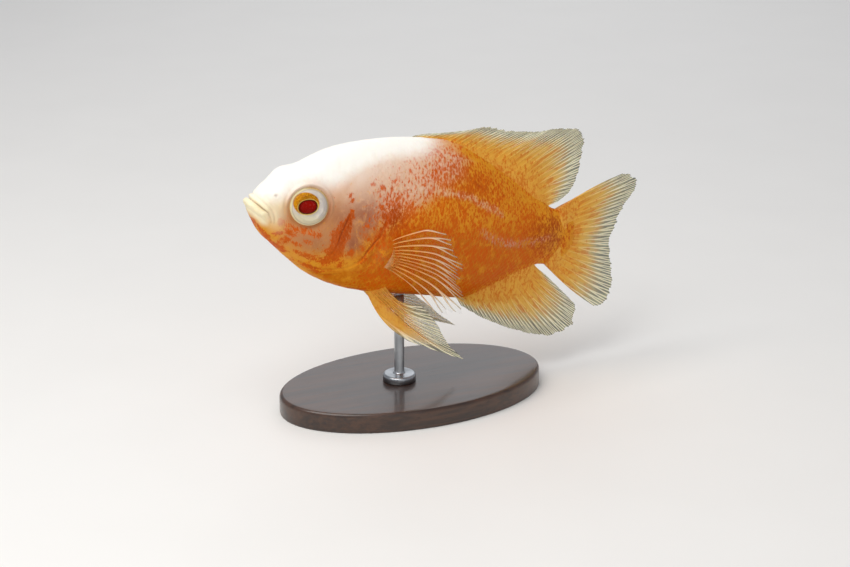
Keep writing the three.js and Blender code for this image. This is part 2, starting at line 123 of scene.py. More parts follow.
# Where the markings lie in side view
START_OF_ORANGE = [
    [36, -30], [37, -16], [37.5, -6], [37.5, 2], [36.5, 8], [42, 12], [47, 15.5], [51.5, 19],
    [54, 24], [55, 32],
]
START_OF_GOLD = [
    [-2, -6], [5, -8], [10, -9.5], [14, -10], [20, -10.5], [26, -9.5], [31, -9], [35, -5], [38, 0],
    [43, 4], [50, 9.5], [57, 14.5], [63, 20], [67, 30],
]
# Edge of the pale nape: above and in front of it the skin is the fish's own pale colour with a painted
# highlight of the light from above
EDGE_OF_WHITE_AND_HIGHLIGHT = [
    [-4, 2], [3, 2.5], [8, 3.6], [11, 6.5], [16, 9.4], [21, 9.2], [26, 12], [32, 16], [38, 19],
    [46, 21], [54, 23.5], [62, 30],
]
CHEEK_STREAK = [
    [29, 4], [28.9, 1.2], [28.2, -1.4], [27.6, -3.6], [27.1, -6.2], [26.8, -8.6], [27.2, -11.2],
]
UNDER_EYE = [[8.9, -3.2], [11.3, -4.3], [13.2, -4.8], [15.1, -4.9], [18, -5], [20.5, -5.6]]
JAW_FLECKS = [[1.4, -4], [2.7, -5.3], [4.6, -6.8], [6.8, -8.6], [9.4, -10.8], [13.4, -12.8]]
BEHIND_GILL = [[37, 6.5], [38.5, 3], [39.4, -1], [38.2, -4.6], [36.8, -7.8], [36, -11.6]]
# Streaks of close marks, as [line, half width at its start and further on, weight]
STREAKS = [
    [CHEEK_STREAK, 0.7, 3, 1.1], [UNDER_EYE, 1.5, 1.2, 0.7], [JAW_FLECKS, 0.45, 0.7, 0.9],
    [BEHIND_GILL, 0.9, 1.4, 0.75],
]
# Ovals of marks, tones and relief, as [x, z, half length, half height, turn in degrees, weight]
HEAD_SPOTS = [
    [27.5, 7.4, 0.6, 1, -25, 0.95], [28.6, 6, 0.7, 1, -20, 0.9], [34.1, 11.4, 0.9, 0.9, 0, 0.95],
    [37.2, 10.8, 1.1, 0.8, 20, 0.9], [39.8, 11.3, 0.6, 0.7, 0, 0.8], [35.4, 12.8, 0.8, 0.4, 0, 0.6],
    [9.6, -6.9, 1.7, 0.8, 25, 1], [11.9, -8.7, 1.8, 1.6, -10, 1.1], [14.8, -9.3, 2.3, 1, -12, 0.9],
    [12, -11.9, 2.8, 0.9, -25, 0.95], [19.5, -12.4, 3.2, 1.1, -5, 0.85], [25.4, -13.4, 3.4, 2, 0, 0.95],
    [22, -16, 6, 1.2, -12, 0.8], [8.8, -3.4, 1.2, 1.7, -30, 0.95],
    [12.2, -5.8, 2.2, 1.3, -20, 1], [15.9, -4.6, 2.4, 0.9, -10, 0.85], [18.3, -8, 2, 1, 0, 0.75],
    [16.4, -11.6, 2, 0.9, -15, 0.85], [21.2, -13.2, 2, 1.1, -10, 0.9], [29.8, -13.6, 1.8, 1.6, 0, 0.85],
    [24, -17, 3, 1.1, -12, 0.8], [23.8, -9.6, 1.5, 1.3, 0, 0.65],
    [41.5, 3, 4.6, 4, 0, 0.85], [33.4, -1.2, 1.1, 0.5, 20, 0.75], [36.5, -1, 0.9, 0.5, 20, 0.7],
    [34.6, -6, 1.2, 2, 20, 0.65], [32.6, -4.6, 0.9, 0.8, 0, 0.6], [31.6, -9.6, 2, 1.4, 0, 0.7],
    [33.4, 5.2, 1.6, 0.5, 30, 0.5], [30.4, -12.6, 3, 1.6, -5, 0.6], [40, 8, 2, 1.6, 0, 0.55],
]
SPECKLED = [
    [66, 14.5, 14, 4.6, -20, 0.42], [44, 3, 7, 6, 0, 0.3], [58, 4, 12, 5, 0, 0.12],
    [99, 1, 8, 7, 0, 0.2], [86, -13.5, 10, 2, 28, 0.25],
]
RED = [
    [100, 1, 7, 6, 0, 0.75], [67, 15, 12, 6, -20, 0.25], [42, 2, 5, 6, 0, 0.3],
    [28, -2, 3, 7, 0, 0.25],
]
MAUVE = [
    [33.6, 2, 5.6, 6, 0, 0.8], [31.6, -7, 2.6, 2.8, 0, 0.75], [25.5, 0.4, 3.5, 3.5, 0, 0.4],
    [19, -8, 5, 2.5, 0, 0.35], [41, -8.6, 1.6, 3, 0, 0.5], [88, -2, 13, 2, 0, 0.35],
]
BEFORE_EYE = [[8.8, 2.6, 1.2, 3, -20, 0.5]]
SCALY_CHEEK = [[23, -6, 6, 6, 0, 0.5]]
BROW_AND_CHEEK = [[14.6, 9.4, 4, 1.8, 0, 1], [20, -8.5, 5, 4, 0, 0.6]]
PECTORAL_PAD = [[42.2, -8.8, 2.3, 4.2, -8, 0.9], [38.9, -9.5, 1, 4.5, -8, -0.35]]
# Painted shade along the mouth slit, lip folds, grooves and the gill cover's edge, as [line, strength,
# half width, first and last share of it]
CREASE_SHADES = [
    [MOUTH, 0.5, 0.16, -0.2, 1.0], [MOUTH_CORNER, 0.3, 0.2, 0, 1], [UPPER_LIP, 0.16, 0.22, 0, 1],
    [LOWER_LIP, 0.1, 0.25, 0.2, 1], [PREOPERCLE, 0.7, 0.17, 0.02, 0.6],
    [GILL_EDGE, 0.75, 0.17, 0.26, 0.6], [GILL_EDGE, 0.2, 0.2, 0.5, 1],
    [THROAT_FOLDS[0], 0.2, 0.3, 0, 1],
]

# Fins in mm. sheath: shares of a ray at which the flesh over it ends and is full. film, flesh and
# power: half thickness of the membrane, what the flesh adds and how it falls off. ray: height of
# a ray in the flesh and what it gains outside. taper: where thinning starts, and its amount.
# width: of a ray, in ray units. tooth: how far the edge reaches in between branches. sunk: how
# deep the root lies in the body. steps: mesh steps out to the edge.
MEDIAN_BUILD = {"film": 0.2, "ray": (0.04, 0.09), "width": 0.1, "slot": "fin"}
SIDE_BUILD = {
    "sheath": (0.22, 0), "film": 0.13, "flesh": 0.7, "power": 1.3, "ray": (0.12, 0.16),
    "taper": (0.6, 0.45), "width": 0.1, "steps": 60, "seed": 31, "ripple": 0.25,
}
# Shares of a ray at which its branches part, and half the gap between them, in ray units
GOLDEN_FORKS = (0.3, 0.62)
TAIL_FORKS = (0.18, 0.55)
PECTORAL_FORKS = (0.6,)
PELVIC_FORKS = (0.3, 0.6)
BRANCH_GAPS = (0.235, 0.118)
FORK_LENGTH = 0.35
RAY_SAG = 0.03
RAY_NARROWING = 0.45

# Middle fins in side view: [share of the way along the fin, root x, tip x, tip z]. spiny: share
# of the fin whose rays are spines.
DORSAL_RAYS = [
    [0, 45.5, 48.5, 25.6], [0.1, 49.5, 55.5, 27.3], [0.2, 54.5, 63.5, 29.1], [0.3, 60, 71.3, 31.4],
    [0.4, 66, 79.5, 31], [0.5, 71.5, 88, 31.6], [0.6, 76.5, 95.5, 33.8], [0.7, 81.5, 103.2, 34.3],
    [0.8, 86.5, 107.3, 29], [0.88, 90.5, 107, 20.5], [0.94, 94, 105.4, 14.4], [1, 97.5, 102, 11.2],
]
ANAL_RAYS = [
    [0, 73.5, 77.5, -24.8], [0.1, 76.5, 83.5, -27.2], [0.2, 79.5, 90, -29], [0.35, 83.5, 99, -31],
    [0.5, 87, 107.5, -32], [0.62, 89.8, 114.3, -30.8], [0.74, 92.3, 119.6, -27],
    [0.84, 94.3, 119.6, -22.6], [0.92, 96, 113.6, -17.9], [1, 97.8, 104.4, -12.2],
]
TAIL_TIPS = [
    [0, 124.5, 22.4], [0.07, 128.5, 21.8], [0.14, 131.4, 19.6], [0.25, 130.4, 14.6],
    [0.38, 128.6, 8.2], [0.5, 127.6, 1.4], [0.62, 129, -4.6], [0.75, 131.2, -10.4],
    [0.86, 132.2, -15.6], [0.93, 130.6, -19.4], [1, 126.6, -21.4],
]
TAIL_ROOT = {"middle": 107.2, "edge": 104.2, "top": 8.6, "bottom": -8.7, "cup": 2.4, "bow": 0.9}
MIDDLE_FIN = {
    **MEDIAN_BUILD, "sheath": (0.5, 0.04), "flesh": 1.15, "power": 1.6, "taper": (0.7, 0.5),
    "forks": GOLDEN_FORKS, "tooth": 0.022, "seed": 11, "spine_tooth": 0.07, "spine_width": 0.14,
    "sunk": 1.2, "steps": 54, "ripple": (0.55, 0.35),
}
DORSAL = {**MIDDLE_FIN, "table": DORSAL_RAYS, "rays": 33, "spiny": 0.42}
ANAL = {**MIDDLE_FIN, "table": ANAL_RAYS, "rays": 19, "spiny": 0.12}
TAIL = {
    **MEDIAN_BUILD, "sheath": (0.3, 0.02), "flesh": 1, "power": 1.4, "taper": (0.72, 0.5),
    "forks": TAIL_FORKS, "tooth": 0.03, "seed": 23, "rays": 16, "width": 0.11, "finer": 1.6,
    "sunk": 1.5, "steps": 58, "ripple": 0.3,
}
# Paired fins, on the right side: [share of the way along the root or the edge, x, y, z]. bow:
# how far the middle of a ray swings out. curl: how far the tips hang. lead: how fleshy the first
# ray is.
PECTORAL = {
    **SIDE_BUILD, "rays": 12, "columns": 28, "forks": PECTORAL_FORKS, "curl": 1.6,
    "slot": "clear_fin", "tooth": 0.09,
    "root": [[0, 41.6, 8.8, -5.6], [0.5, 43.6, 8.8, -9], [1, 43.4, 8.2, -12.4]],
    "tips": [
        [0, 57.3, 16, 3.4], [0.12, 60.8, 16.4, -0.6], [0.25, 63.6, 16.8, -5.6], [0.5, 66, 17, -12],
        [0.75, 67.8, 16, -17.6], [0.88, 66.6, 15, -22.4], [1, 62.5, 13, -24.6],
    ],
    "bow": (0, 1.2, 1.4),
    "lead": 0,
}
PELVIC = {
    **SIDE_BUILD, "rays": 6, "columns": 40, "forks": PELVIC_FORKS, "curl": 0, "slot": "fin",
    "tooth": 0.016, "lead": 0.85, "root": [[0, 42, 2.6, -21.4], [1, 47, 4.6, -19.2]],
}
PELVIC_LEFT = {
    **PELVIC,
    "tips": [
        [0, 57, 8.8, -34.6], [0.2, 76.3, 11, -38.2], [0.4, 70.4, 10, -34.4], [0.6, 67.6, 9.2, -31.6],
        [0.8, 64.6, 8.3, -27.6], [1, 59, 7.4, -23.6],
    ],
    "bow": (-1.2, 0.6, -1.6),
}
PELVIC_RIGHT = {
    **PELVIC,
    "tips": [
        [0, 61, 7, -30.8], [0.2, 82, 8.6, -33.6], [0.4, 75, 8.2, -30.4], [0.6, 70.5, 7.8, -28],
        [0.8, 66, 7.6, -25.4], [1, 60, 7.4, -22.4],
    ],
    "bow": (-1, 0.6, -1.2),
}

# Scales, in scale pitches: from one row to the next, the radius of a disc, the width of its
# rounded edge, and how far the rows are shifted. Then the height of a scale at its front as a
# share of its rear edge's, and the body's depth in mm at which scales have their full pitch.
SCALE_ROWS = 0.58
SCALE_RADIUS = 0.66
SCALE_LIP = 0.13
SCALE_SHIFT = 0.29
SCALE_START = 0.25
FULL_DEPTH = 48

# The skin's grid, in mm: [start, end, step] of its stations on the head, the evenly spaced ones
# behind, and the half width and height of the section that its turns are even on
HEAD_STATIONS = [[-0.6, 0, 0.06], [0, 3, 0.13], [3, 24, 0.225], [24, 42, 0.28]]
REAR_STATIONS = (42, 112, 196)
TURNS = 256
FULL_SECTION = (10.4, 24)
# Unevenness of the skin: height in mm, seed, and cells of it along and round the body
UNEVEN = 0.05
UNEVEN_SEED = 5
UNEVEN_CELLS = (70, 40)

# The eye, in mm: its centre, radius, the height of its front, and how far its axis leans forward
# in radians. Then the rings where the skin starts to dip and meets the ball, the middle of the
# fleshy rim, the pupil's place and half lengths, and the clear cornea.
EYE = {"x": 16.5, "z": 2.3, "side": 6.3, "radius": 5.9, "depth": 3.5, "lean": 0.2}
EYE_BED = (8.2, 5.9)
EYE_RIM = 6.55
PUPIL = {"back": -0.7, "up": 0.1, "tilt": math.radians(20), "half": (2.8, 2.1), "power": 2.2}
CORNEA = {"edge": 4.35, "curve": 6.3, "gap": 0.05, "thick": 0.12}
NOSTRIL = (6.4, 3.7)
FISH_NODES = ["head", "lower_jaw", "gill_cover_left", "gill_cover_right", "trunk", "tail_stalk"]

# The stand, in mm
BASE_X = -14
ROD_X = -18
ROD_TOP = 33.4
RIM_ROUND = 1.2
FOOT_RADIUS = 5
FOOT_ROUND = 0.8

# Noise of the finishes: [blob in mm, or in units of a map, detail, stretch, roughness, swirl]
GRAINS = {
    "drift": [6, 3, (1, 1, 1), 0.6, 0],
    "cloud": [2.2, 4, (1.1, 1, 0.8), 0.65, 0.5],
    "fine": [0.85, 4, (1.35, 1, 0.7), 0.66, 0.3],
    "shred": [0.55, 3, (1.5, 1, 0.55), 0.7, 0.8],
    "pore": [0.3, 2, (1, 1, 1), 0.5, 0],
    "dash": [1, 3, (1.5, 5, 1), 0.6, 0],
    "streak": [1, 3, (3.2, 2.4, 1), 0.6, 0],
    "iris": [0.35, 4, (1, 1, 1), 0.65, 0],
    "pearl": [1.6, 2, (1, 1, 1), 0.5, 0],
    "bend": [22, 2, (1, 1, 1), 0.5, 0],
    "fibre": [1.1, 5, (0.05, 1, 1), 0.65, 0],
    "band": [5, 3, (0.08, 1, 1), 0.5, 0],
    "wood_pore": [0.3, 2, (0.08, 1, 1), 0.5, 0],
    "rings": [0.6, 3, (0.12, 0.12, 1), 0.6, 0],
    "smudge": [7, 2, (1, 1, 1), 0.5, 0],
    "floor": [40, 2, (1, 1, 1), 0.5, 0],
}

# Lamps: [name, power as a share of the key or front light's, width in m, place, colour]
LAMP_AIM = (0, 0, 0.05)
LAMPS = [
    ["key", "key", 1, 0.5, (-0.3, -0.12, 0.53), (1, 0.985, 0.96)],
    ["fill", "fill", 1, 0.6, (-0.15, -0.75, 0.22), (1, 0.98, 0.95)],
    ["back", "fill", 1.4, 0.5, (0.3, 0.55, 0.4), (0.96, 0.98, 1)],
]
SKY_COLOUR = (0.92, 0.94, 1, 1)
FLOOR_HALF = 3
SENSOR = 36


def tint(name, code):
    """A colour property with its default given as a hex colour, whose sRGB curve is undone."""
    values = [int(code[i : i + 2], 16) / 255 for i in (0, 2, 4)]
    linear = [v / 12.92 if v < 0.04045 else ((v + 0.055) / 1.055) ** 2.4 for v in values]
    return FloatVectorProperty(
        name=name, description=f"Colour of the {name.lower()}", default=linear,
        subtype="COLOR", size=3, min=0, max=1,
    )


def number(name, description, default, **more):
    """A number property."""
    return FloatProperty(name=name, description=description, default=default, **more)


def length(name, description, millimetres):
    """A length property with its default in millimetres."""
    return number(name, description, millimetres * MM, unit="LENGTH", min=0, precision=5)


class OscarSkin(bpy.types.PropertyGroup):
    scale_pitch: length("Scale pitch", "Distance from one scale to the next on the flank", 2.1)
    scale_rise: length("Scale rise", "Height of a scale's free edge over the next scale", 0.13)
    # Pale of the nape, which also holds a painted highlight of the light from above
    white: tint("White of the nape", "FFFAF0")
    pink: tint("Pink ground", "E4BB9C")
    # Brownish ground that darkens the skin lower down: partly the cheek's own colour, partly painted
    # shade of the light from above
    tan: tint("Tan of the cheek", "C98A58")
    gold: tint("Golden ground", "E39A26")
    amber: tint("Amber of the lower flank", "CB6C08")
    cream: tint("Cream of the lips", "FBF2CC")
    orange: tint("Orange speckle", "D65C06")
    red: tint("Red of the tail stalk", "AE4304")
    mauve: tint("Mauve of the gill cover", "9A5840")
    # Painted shade in the creases, grooves, nostril and under the eye
    crease: tint("Crease", "7E2C08")


class OscarEye(bpy.types.PropertyGroup):
    pupil: tint("Pupil", "8E0A00")
    pupil_edge: tint("Pupil's dark edge", "2E0100")
    gold: tint("Golden iris", "CF8F14")
    brown: tint("Brown strands of the iris", "A8650A")
    pearl: tint("Pearly ring", "CEC5B8")
    pearl_shade: tint("Pearly ring's shade", "C6BCB8")
    pearl_light: tint("Pearly ring's light", "E2D8C4")
    cream: tint("Outer ring", "E2D8AC")
    line: tint("Line round the iris", "8C8478")
    rim: tint("Pupil rim", "F0DC7C")


class OscarFin(bpy.types.PropertyGroup):
    base: tint("Fin base", "EAAC42")
    middle: tint("Fin middle", "E8BC5E")
    edge: tint("Fin edge", "B0B292")
    ray: tint("Fin ray", "F8F0D2")
    root_ray: tint("Ray at its root", "F2CC70")
    fleck: tint("Orange flecks", "D9741A")
    # Painted shade: the darkness seen through the see-through film near a fin's edge
    dark: tint("Dark streaks", "4A4C40")
    clear_ray: tint("Pectoral ray", "E4A67C")
    clear_root: tint("Pectoral root", "C28A6E")
    rays_per_side: IntProperty(
        name="Columns per ray", description="Mesh columns from one ray to the next", default=18,
        min=4, max=40,
    )


class OscarStand(bpy.types.PropertyGroup):
    wood: tint("Wood", "4A2E1C")
    grain: tint("Wood grain", "2A180E")
    pore: tint("Wood pore", "170C06")
    steel: tint("Steel", "B9BCC0")
    steel_shade: tint("Steel's smudges", "9EA2A6")
    base_length: length("Base length", "Length of the oval base", 84)
    base_width: length("Base width", "Width of the oval base", 50)
    base_height: length("Base height", "Height of the base", 6)
    rod_radius: length("Rod radius", "Radius of the steel rod", 1.5)


class OscarStage(bpy.types.PropertyGroup):
    floor: tint("Floor", "F2F0EC")
    floor_shade: tint("Floor's shade", "DEDCD8")
    key: number("Key light", "Power of the light above", 2.9, unit="POWER")
    fill: number("Fill light", "Power of the front light", 0.5, unit="POWER")
    sky: number("Sky", "Strength of the pale surroundings", 0.42)
    lens: number("Lens", "Focal length of the camera", 90, unit="CAMERA")
    azimuth: number("Azimuth", "Camera's turn round the fish", math.radians(-25), subtype="ANGLE")
    elevation: number("Elevation", "Camera's tilt", math.radians(20), subtype="ANGLE")
    distance: length("Distance", "From the camera to the point it aims at", 640)
    aim: FloatVectorProperty(
        name="Aim", description="Point that the camera aims at",
        default=(-0.00916, 0.00053, 0.03551), subtype="TRANSLATION", unit="LENGTH",
    )


# Curves


def hermite(t, h, start, end, slope, end_slope):
    """Cubic from start to end over a stretch h, where t goes from 0 to 1, with the given slopes:
    start (1 + 2t)(1 - t)^2 + h slope t(1 - t)^2 + end t^2(3 - 2t) - h end_slope t^2(1 - t)."""
    first = start * (1 + 2 * t) * (1 - t) ** 2 + h * slope * t * (1 - t) ** 2
    return first + end * t * t * (3 - 2 * t) - h * end_slope * t * t * (1 - t)


def through(points, column=1):
    """Smooth curve through [x, value] points that never overshoots: cubic pieces whose slope at
    each point is the harmonic mean of the slopes on either side, or 0 at a peak."""
    table = np.array(points, float)
    xs, ys = table[:, 0], table[:, column]
    steps = np.diff(ys) / np.diff(xs)
    a, b = steps[:-1], steps[1:]
    total = np.where(a + b == 0, 1, a + b)
    slopes = np.concatenate([steps[:1], np.where(a * b <= 0, 0, 2 * a * b / total), steps[-1:]])

    def value(x):
        i = np.clip(np.searchsorted(xs, x) - 1, 0, len(xs) - 2)
        h = xs[i + 1] - xs[i]
        t = np.clip((x - xs[i]) / h, 0, 1)
        return hermite(t, h, ys[i], ys[i + 1], slopes[i], slopes[i + 1])

    return value


back_at = through(BACK)
belly_at = through(BELLY)
width_at = through(HALF_WIDTH)
middle_at = through(MIDDLE)
top_power = through(TOP_POWER)
bottom_power = through(BOTTOM_POWER)


def smooth(points, count=40):
    """The open line through the points made smooth: cubic in the distance along it."""
    p = np.array(points, float)
    along = np.concatenate([[0], np.cumsum(np.hypot(*np.diff(p, axis=0).T))])
    t = np.linspace(0, along[-1], count)
    slopes = np.gradient(p, along, axis=0)
    i = np.clip(np.searchsorted(along, t) - 1, 0, len(along) - 2)
    h = (along[i + 1] - along[i])[:, None]
    s = (t[:, None] - along[i][:, None]) / h
    return hermite(s, h, p[i], p[i + 1], slopes[i], slopes[i + 1])


def step(value, low, high):
    """0 below low, 1 above high and a smooth cubic rise in between (falls where low > high)."""
    t = np.clip((value - low) / (high - low), 0, 1)
    return t * t * (3 - 2 * t)


def span(value, a, b, c, d):
    """Rises smoothly from 0 at a to 1 at b, and falls from 1 at c to 0 at d."""
    return step(value, a, b) * step(value, d, c)


def hump(distance, width):
    """A round ridge: exp(-(distance / width) squared)."""
    return np.exp(-((distance / width) ** 2))


def dome(r, radius, least=0):
    """Half a circle's height at r as a share: sqrt(1 - (r / radius)^2), or of least at least."""
    return np.sqrt(np.clip(1 - (r / radius) ** 2, least, 1))


def blot(x, z, cx, cz, rx, rz, turn):
    """An oval spot round (cx, cz), turned by so many degrees: 1 in the middle, 0 far out."""
    c, s = math.cos(math.radians(turn)), math.sin(math.radians(turn))
    u = (x - cx) * c + (z - cz) * s
    v = (z - cz) * c - (x - cx) * s
    return np.exp(-((u / rx) ** 2) - (v / rz) ** 2)


def blots(x, z, table, join=np.add):
    """The ovals of a table, each times its weight, added up or joined in another way."""
    total = np.zeros(x.shape)
    for *oval, weight in table:
        total = join(total, weight * blot(x, z, *oval))
    return total


def beside(line, x, z):
    """Distance from (x, z) to a line, its signed form (positive on the left of the line's way)
    and the share of the way along it, all at the nearest of the line's straight parts."""
    p = smooth(line)
    best = np.full(np.shape(x), np.inf)
    side = np.zeros(np.shape(x))
    share = np.zeros(np.shape(x))
    count = len(p) - 1
    for i in range(count):
        dx, dz = p[i + 1] - p[i]
        t = np.clip(((x - p[i, 0]) * dx + (z - p[i, 1]) * dz) / (dx * dx + dz * dz), 0, 1)
        away = np.hypot(x - p[i, 0] - t * dx, z - p[i, 1] - t * dz)
        turn = dx * (z - p[i, 1]) - dz * (x - p[i, 0])
        nearer = away < best
        best = np.where(nearer, away, best)
        side = np.where(nearer, np.sign(turn), side)
        share = np.where(nearer, (i + t) / count, share)
    return best, best * side, share


def noise(shape, seed, cells):
    """Smooth random field between -1 and 1: a coarse random grid stretched with cubic steps."""
    coarse = np.random.default_rng(seed).uniform(-1, 1, (cells[0] + 2, cells[1] + 2))
    u = np.linspace(0, cells[0], shape[0])[:, None]
    v = np.linspace(0, cells[1], shape[1])[None, :]
    i, j = u.astype(int), v.astype(int)
    s, t = step(u - i, 0, 1), step(v - j, 0, 1)
    low = coarse[i, j] * (1 - t) + coarse[i, j + 1] * t
    return low * (1 - s) + (coarse[i + 1, j] * (1 - t) + coarse[i + 1, j + 1] * t) * s


# Meshes


def to_model(x, y, z):
    """Points of the fish's frame in the model's frame, in metres: the rear swings to the right
    by BEND times the square of the distance behind BEND_START, then the head tilts up."""
    y = y + BEND * np.maximum(0, x - BEND_START) ** 2
    c, s = math.cos(HEAD_UP), math.sin(HEAD_UP)
    placed = np.stack([SNOUT[0] + x * c + z * s, y, SNOUT[1] - x * s + z * c], axis=-1)
    return placed.reshape(-1, 3) * MM


def grid_faces(rows, columns, wrap=False):
    """Quads between neighbours of a grid of points that is stored row by row."""
    i = np.arange(rows - 1)[:, None] * columns
    j = np.arange(columns if wrap else columns - 1)[None, :]
    k = (j + 1) % columns
    quads = np.broadcast_arrays(i + j, i + columns + j, i + columns + k, i + k)
    return np.stack(quads, -1).reshape(-1, 4).tolist()


def capped(rings, columns):
    """Faces of a stack of closed rings, with both ends drawn to the two points after them."""
    ring = np.arange(columns)
    after = rings * columns
    faces = grid_faces(rings, columns, wrap=True)
    for end, centre in ((ring, after), (ring[::-1] + after - columns, after + 1)):
        faces += [[int(a), int(b), centre] for a, b in zip(end, np.roll(end, -1))]
    return faces


def outward(points, faces):
    """The faces turned round if the closed mesh holds a negative volume."""
    corners = np.array([face[:3] for face in faces])
    rest = np.array([[face[0], face[2], face[3]] for face in faces if len(face) == 4])
    corners = np.concatenate([corners, rest]) if len(rest) else corners
    a, b, c = (points[corners[:, i]] for i in range(3))
    if np.einsum("ij,ij->i", a, np.cross(b, c)).sum() < 0:
        return [face[::-1] for face in faces]
    return faces


def piece(name, points, faces, finish, masks=None, uv=None, replaces=()):
    """A mesh object in the model's frame that rides on the root body. The masks become
    attributes of its points, and uv a map named Along."""
    mesh = bpy.data.meshes.new(name)
    mesh.from_pydata(points.tolist(), [], outward(points, faces))
    mesh.polygons.foreach_set("use_smooth", np.full(len(mesh.polygons), True))
    for key, values in (masks or {}).items():
        layer = mesh.attributes.new(key, "FLOAT", "POINT")
        layer.data.foreach_set("value", np.ascontiguousarray(values, np.float32).ravel())
    if uv is not None:
        corner = np.empty(len(mesh.loops), np.int32)
        mesh.loops.foreach_get("vertex_index", corner)
        layer = mesh.uv_layers.new(name="Along")
        layer.data.foreach_set("uv", np.ascontiguousarray(uv[corner], np.float32).ravel())
    mesh.materials.append(finish)
    mesh.validate()
    thing = bpy.data.objects.new(name, mesh)
    bpy.context.scene.collection.objects.link(thing)
    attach(thing, "root")
    if replaces:
        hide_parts(*replaces)


# Materials


def maths(operation, reflected=False):
    """A method of Wire that adds a maths node, with its values swapped where reflected."""

    def method(wire, other=0):
        values = (other, wire) if reflected else (wire, other)
        return wire.finish.add("ShaderNodeMath", {"operation": operation}, dict(enumerate(values)))

    return method


class Wire:
    """An output socket that can be used in sums, products and comparisons."""

    def __init__(self, finish, socket):
        self.finish = finish
        self.socket = socket

    __add__ = __radd__ = maths("ADD")
    __sub__ = maths("SUBTRACT")
    __rsub__ = maths("SUBTRACT", reflected=True)
    __mul__ = __rmul__ = maths("MULTIPLY")
    __pow__ = maths("POWER")
    __lt__ = maths("LESS_THAN")
    size = maths("ABSOLUTE")
    floor = maths("FLOOR")
    ceil = maths("CEIL")
    most = maths("MAXIMUM")
    least = maths("MINIMUM")

    def rise(self, low, high):
        """Smooth step from 0 at low to 1 at high."""
        return self.finish.add(
            "ShaderNodeMapRange", {"interpolation_type": "SMOOTHSTEP"},
            {"Value": self, "From Min": low, "From Max": high},
        )


class Finish:
    """A material whose nodes are written as expressions. look holds its colours."""

    def __init__(self, name, look=None):
        self.look = look
        self.material = bpy.data.materials.new(name)
        self.material.use_nodes = True
        self.tree = self.material.node_tree
        self.shader = self.tree.nodes["Principled BSDF"]
        self.place = self.add("ShaderNodeTexCoord", output="Object")

    def add(self, kind, settings=None, sockets=None, output=0):
        """One node: its settings are set first, then its sockets get values or links."""
        made = self.tree.nodes.new(kind)
        for key, value in (settings or {}).items():
            setattr(made, key, value)
        self.set(made, sockets or {})
        return Wire(self, made.outputs[output])

    def set(self, made, sockets):
        """Links or values for the sockets. A word stands for the look's colour of that name."""
        for key, value in sockets.items():
            socket = made.inputs[key]
            if isinstance(value, str):
                value = tuple(getattr(self.look, value))
            if isinstance(value, Wire):
                self.tree.links.new(value.socket, socket)
            elif socket.type == "RGBA":
                socket.default_value = (*value, 1)
            else:
                socket.default_value = value

    def masks(self, *names):
        """The piece's attributes of those names."""
        kind = "ShaderNodeAttribute"
        return [self.add(kind, {"attribute_name": name}, output="Fac") for name in names]

    def along(self):
        """The map named Along and its two parts."""
        uv = self.add("ShaderNodeUVMap", {"uv_map": "Along"})
        u, v = (self.add("ShaderNodeSeparateXYZ", {}, {0: uv}, output=i) for i in (0, 1))
        return uv, u, v

    def mix(self, share, a, b):
        """Colour a where share is 0 and b where it is 1."""
        return self.add("ShaderNodeMix", {"data_type": "RGBA"}, {0: share, 6: a, 7: b}, output=2)

    def layers(self, tone, *covers):
        """A colour with others laid over it in turn, each given as (share, colour)."""
        for share, colour in covers:
            tone = self.mix(share, tone, colour)
        return tone

    def grain(self, name, place=None):
        """One of the GRAINS on the object's coordinates, or on another map."""
        size, detail, stretch, rough, twist = GRAINS[name]
        at = self.add("ShaderNodeMapping", {}, {"Vector": place or self.place, "Scale": stretch})
        scale = 1 / size if place else 1 / (size * MM)
        sockets = {"Vector": at, "Scale": scale, "Detail": detail, "Roughness": rough}
        return self.add("ShaderNodeTexNoise", {}, {**sockets, "Distortion": twist})

    def bump(self, height, distance, strength, under=None):
        """Normal of a relief that rises by so many millimetres where height is 1."""
        sockets = {"Height": height, "Distance": distance * MM, "Strength": strength}
        if under:
            sockets["Normal"] = under
        return self.add("ShaderNodeBump", {}, sockets)

    def done(self, **sockets):
        """The material, once its shader's sockets are set."""
        self.set(self.shader, {key.replace("_", " "): value for key, value in sockets.items()})
        return self.material


def scale_edge(f):
    """How far a place lies in front of the free edge of the scale that shows there, in scale
    pitches. Scales are discs in staggered rows, each over the ones behind it, so the one whose
    centre lies furthest forward shows. In a row it is centred at the first whole or half step
    past u - h, where h is half the disc's length at that height. A row too far off for its disc
    to reach the place is put far back."""
    thin, far_back = 0.001, 9
    _, u, v = f.along()
    nearest = (v + 0.5).floor()
    centre = edge = None
    for shift in (-1, 0, 1):
        row = nearest + shift
        off = (v - row) * SCALE_ROWS
        h = (SCALE_RADIUS**2 - off * off).most(0) ** 0.5
        stagger = row * 0.5 - (row * 0.5).floor()
        this = (u - h - stagger).ceil() + stagger + (h < thin) * far_back
        reach = h - u + this
        if centre is None:
            centre, edge = this, reach
        else:
            edge = edge + (reach - edge) * (this < centre)
            centre = centre.least(this)
    return edge


def skin_ground(f, drift, cloud, fine):
    """Pink that goes over to a brownish ground lower down, partly the skin's own colour and partly
    painted shade, and to gold, amber and mauve, with broken pale bands and gold in the spaces
    between the marks."""
    tan, gold, amber, mauve, speck, patch, band = f.masks(
        "tan", "gold", "amber", "mauve", "speck", "patch", "bands"
    )
    broken = band + (cloud - 0.5) * 1.6 - (fine - 0.5)
    spare = fine * 0.5 - cloud * 0.5 + speck.most(amber) * 0.1
    return f.layers(
        "pink",
        # Brownish lower down: partly painted shade
        ((tan + drift * 0.7).rise(0.05, 0.95), "tan"),
        ((gold + drift * 0.6).rise(0.1, 0.9), "gold"),
        ((amber + (cloud - 0.5) * 1.8).rise(0, 1), "amber"),
        (mauve * cloud.rise(0.25, 0.52), "mauve"),
        (speck * 0.15, "orange"),
        (patch * patch * 0.4, "amber"),
        (broken.rise(0, 1) * band.rise(0.02, 0.3), "pink"),
        (spare.rise(0.06, 0.2) * 0.6, "gold"),
    )


